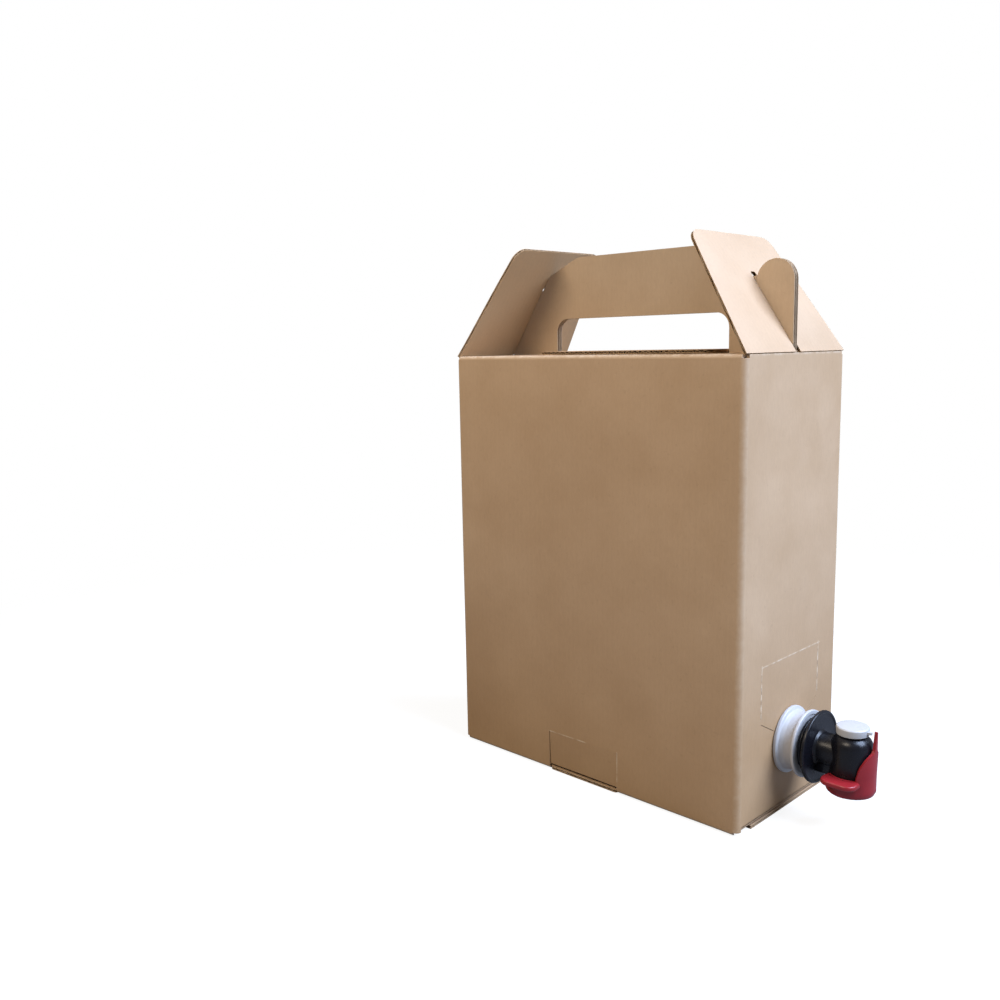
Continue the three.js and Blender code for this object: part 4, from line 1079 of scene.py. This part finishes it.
def filled_bag():
    """Filled film bag: a pillow that nearly fills the carton, with a pocket for the spout's flange."""
    low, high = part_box("bag")
    centre = (low + high) / 2 / MM
    half = (high - low) / 2 / MM
    bm = bmesh.new()
    bmesh.ops.create_uvsphere(bm, u_segments=96, v_segments=64, radius=1.0)
    for vert in bm.verts:
        x, y, z = vert.co
        ring = math.hypot(x, y)
        spread = squared(ring)
        across = spread * squared(x / ring) if ring > 1e-6 else 0.0
        deep = spread * squared(y / ring) if ring > 1e-6 else 0.0
        shrink = BAG_FILL + BAG_WRINKLE * noise.noise(Vector((x, y, z)) * BAG_WRINKLE_SCALE)
        vert.co = (half.x * across * shrink, half.y * deep * shrink, half.z * squared(z) * shrink)
    bmesh.ops.translate(bm, vec=centre, verts=bm.verts[:])
    pocket = bmesh.new()
    bmesh.ops.create_cone(pocket, cap_ends=True, segments=64, radius1=SPOUT_POCKET_RADIUS,
                          radius2=SPOUT_POCKET_RADIUS, depth=SPOUT_POCKET_DEPTH)
    turn = Matrix.Rotation(math.pi / 2, 4, "Y")
    place = Matrix.Translation((HALF_WIDTH - SPOUT_POCKET_FLOOR + SPOUT_POCKET_DEPTH / 2, 0, TAP_AXIS_Z))
    bmesh.ops.transform(pocket, matrix=place @ turn, verts=pocket.verts[:])
    return boolean(bm, pocket, "DIFFERENCE")


def build_pieces():
    """Makes every piece and says which body carries it and which solid it stands for."""
    carton_piece("carton_walls", walls(), KRAFT_WALL)
    for side, label in ((-1, "front"), (1, "back")):
        carton_piece(f"top_panel_{label}", top_panel(side), KRAFT_WALL)
        carton_piece(f"handle_ply_{label}", handle_ply(side), KRAFT_PAINTED_LIGHT_HANDLE)
    carton_piece("bottom_panel", bottom_panel(), KRAFT)
    carton_piece("front_bottom_flap", front_bottom_flap(), KRAFT)
    carton_piece("dust_flap_tap_side", dust_flap(1), KRAFT)
    carton_piece("dust_flap_far_side", dust_flap(-1), KRAFT)
    carton_piece("lock_tab", lock_tab(), KRAFT_WALL)
    for side, label in ((1, "tap_side"), (-1, "far_side")):
        finish_mesh(f"end_flap_board_{label}", end_flap(side), [KRAFT_SIDE, MEDIUM, KRAFT_INNER_PAINTED_SHADE],
                    f"flap_{label}", f"end_flap_{label}")
    finish_mesh("gland_moulding", gland(), [WHITE], "carton", "gland", MOULDED_SMOOTH)
    finish_mesh("tap_body_moulding", tap_body(), [BLACK], "tap", "tap_body", MOULDED_SMOOTH)
    finish_mesh("dome_cap", tap_cap(), [CAP_WHITE], "tap", "tap_cap", MOULDED_SMOOTH)
    finish_mesh("lever_moulding", tap_lever(), [RED], "lever", "tap_lever", MOULDED_SMOOTH)
    finish_mesh("valve_plug", tap_valve(), [RUBBER], "lever", "tap_valve", MOULDED_SMOOTH)
    finish_mesh("film_bag", filled_bag(), [FILM], "carton", "bag", FILM_SMOOTH)


# Camera, floor, light

def make_camera():
    """The photo's viewpoint."""
    data = bpy.data.cameras.new("camera")
    data.lens = CAMERA_LENS
    data.sensor_width = SENSOR_WIDTH
    data.clip_start = 0.01
    camera = bpy.data.objects.new("camera", data)
    bpy.context.scene.collection.objects.link(camera)
    camera.location = CAMERA_PLACE
    turn = CAMERA_AHEAD.to_track_quat("-Z", "Y").to_matrix() @ Matrix.Rotation(CAMERA_ROLL, 3, "Z")
    camera.rotation_euler = turn.to_euler()
    bpy.context.scene.camera = camera


def floor_material():
    """Pale floor that takes the object's shadow and fades into the white surroundings."""
    material, tree, shader = new_material("pale_floor")
    place = tree.nodes.new("ShaderNodeTexCoord").outputs["Object"]
    tone = noise_at(tree, place, Scale=3.0, Detail=2.0)
    colour = ramp(tree, tone, [(0.3, grey(FLOOR_TONE)), (0.7, grey(FLOOR_TONE + 0.02))])
    tree.links.new(colour, shader.inputs["Base Color"])
    shader.inputs["Roughness"].default_value = 0.9
    shader.inputs["Specular IOR Level"].default_value = 0.1
    length = tree.nodes.new("ShaderNodeVectorMath")
    length.operation = "LENGTH"
    tree.links.new(place, length.inputs[0])
    away = tree.nodes.new("ShaderNodeMapRange")
    away.interpolation_type = "SMOOTHSTEP"
    away.inputs["From Min"].default_value = FADE_START
    away.inputs["From Max"].default_value = FADE_END
    tree.links.new(length.outputs["Value"], away.inputs["Value"])
    path = tree.nodes.new("ShaderNodeLightPath")
    seen = math_node(tree, "MULTIPLY", away.outputs["Result"], path.outputs["Is Camera Ray"])
    lift = math_node(tree, "MULTIPLY", path.outputs["Is Camera Ray"], FLOOR_LIFT)
    shader.inputs["Emission Color"].default_value = (1, 1, 1, 1)
    tree.links.new(lift, shader.inputs["Emission Strength"])
    white = tree.nodes.new("ShaderNodeEmission")
    white.inputs["Color"].default_value = (1, 1, 1, 1)
    blend = tree.nodes.new("ShaderNodeMixShader")
    tree.links.new(seen, blend.inputs[0])
    tree.links.new(shader.outputs[0], blend.inputs[1])
    tree.links.new(white.outputs[0], blend.inputs[2])
    output = next(item for item in tree.nodes if item.type == "OUTPUT_MATERIAL")
    tree.links.new(blend.outputs[0], output.inputs["Surface"])
    return material


def make_stage():
    """The floor."""
    bm = bmesh.new()
    bmesh.ops.create_grid(bm, x_segments=1, y_segments=1, size=FLOOR_HALF)
    mesh = bpy.data.meshes.new("floor")
    bm.to_mesh(mesh)
    bm.free()
    mesh.materials.append(floor_material())
    floor = bpy.data.objects.new("floor", mesh)
    floor.location = (0, 0, -FLOOR_DROP)
    bpy.context.scene.collection.objects.link(floor)


def make_world():
    """White surroundings for the camera, and a dimmer even light for the object."""
    world = bpy.data.worlds.new("studio")
    bpy.context.scene.world = world
    world.use_nodes = True
    tree = world.node_tree
    background = tree.nodes["Background"]
    background.inputs["Color"].default_value = (1, 1, 1, 1)
    path = tree.nodes.new("ShaderNodeLightPath")
    seen = math_node(tree, "MAXIMUM", path.outputs["Is Camera Ray"], path.outputs["Is Transmission Ray"])
    strength = math_node(tree, "MULTIPLY_ADD", seen, 1.0 - WORLD_LIGHT, WORLD_LIGHT)
    tree.links.new(strength, background.inputs["Strength"])


def area_light(name, place, target, size, power, colour):
    """A rectangular lamp aimed at a point."""
    data = bpy.data.lights.new(name, "AREA")
    data.shape = "RECTANGLE"
    data.size, data.size_y = size
    data.energy = power
    data.color = colour
    lamp = bpy.data.objects.new(name, data)
    bpy.context.scene.collection.objects.link(lamp)
    lamp.location = place
    lamp.rotation_euler = (Vector(target) - Vector(place)).to_track_quat("-Z", "Y").to_euler()


def make_lights():
    """A large cool window on the tap's side and a small warm fill in front."""
    area_light("window_side", place=(1.14, 0.40, 1.50), target=(0.05, 0, 0.18), size=(1.4, 1.2),
               power=112.0, colour=(0.57, 0.71, 1.0))
    area_light("front_fill", place=(-0.12, -0.78, 0.85), target=(-0.04, -0.05, 0.27), size=(0.5, 0.3),
               power=7.2, colour=(1.0, 0.87, 0.70))


build_pieces()
make_camera()
make_stage()
make_world()
make_lights()
bpy.context.scene.view_settings.view_transform = "Standard"
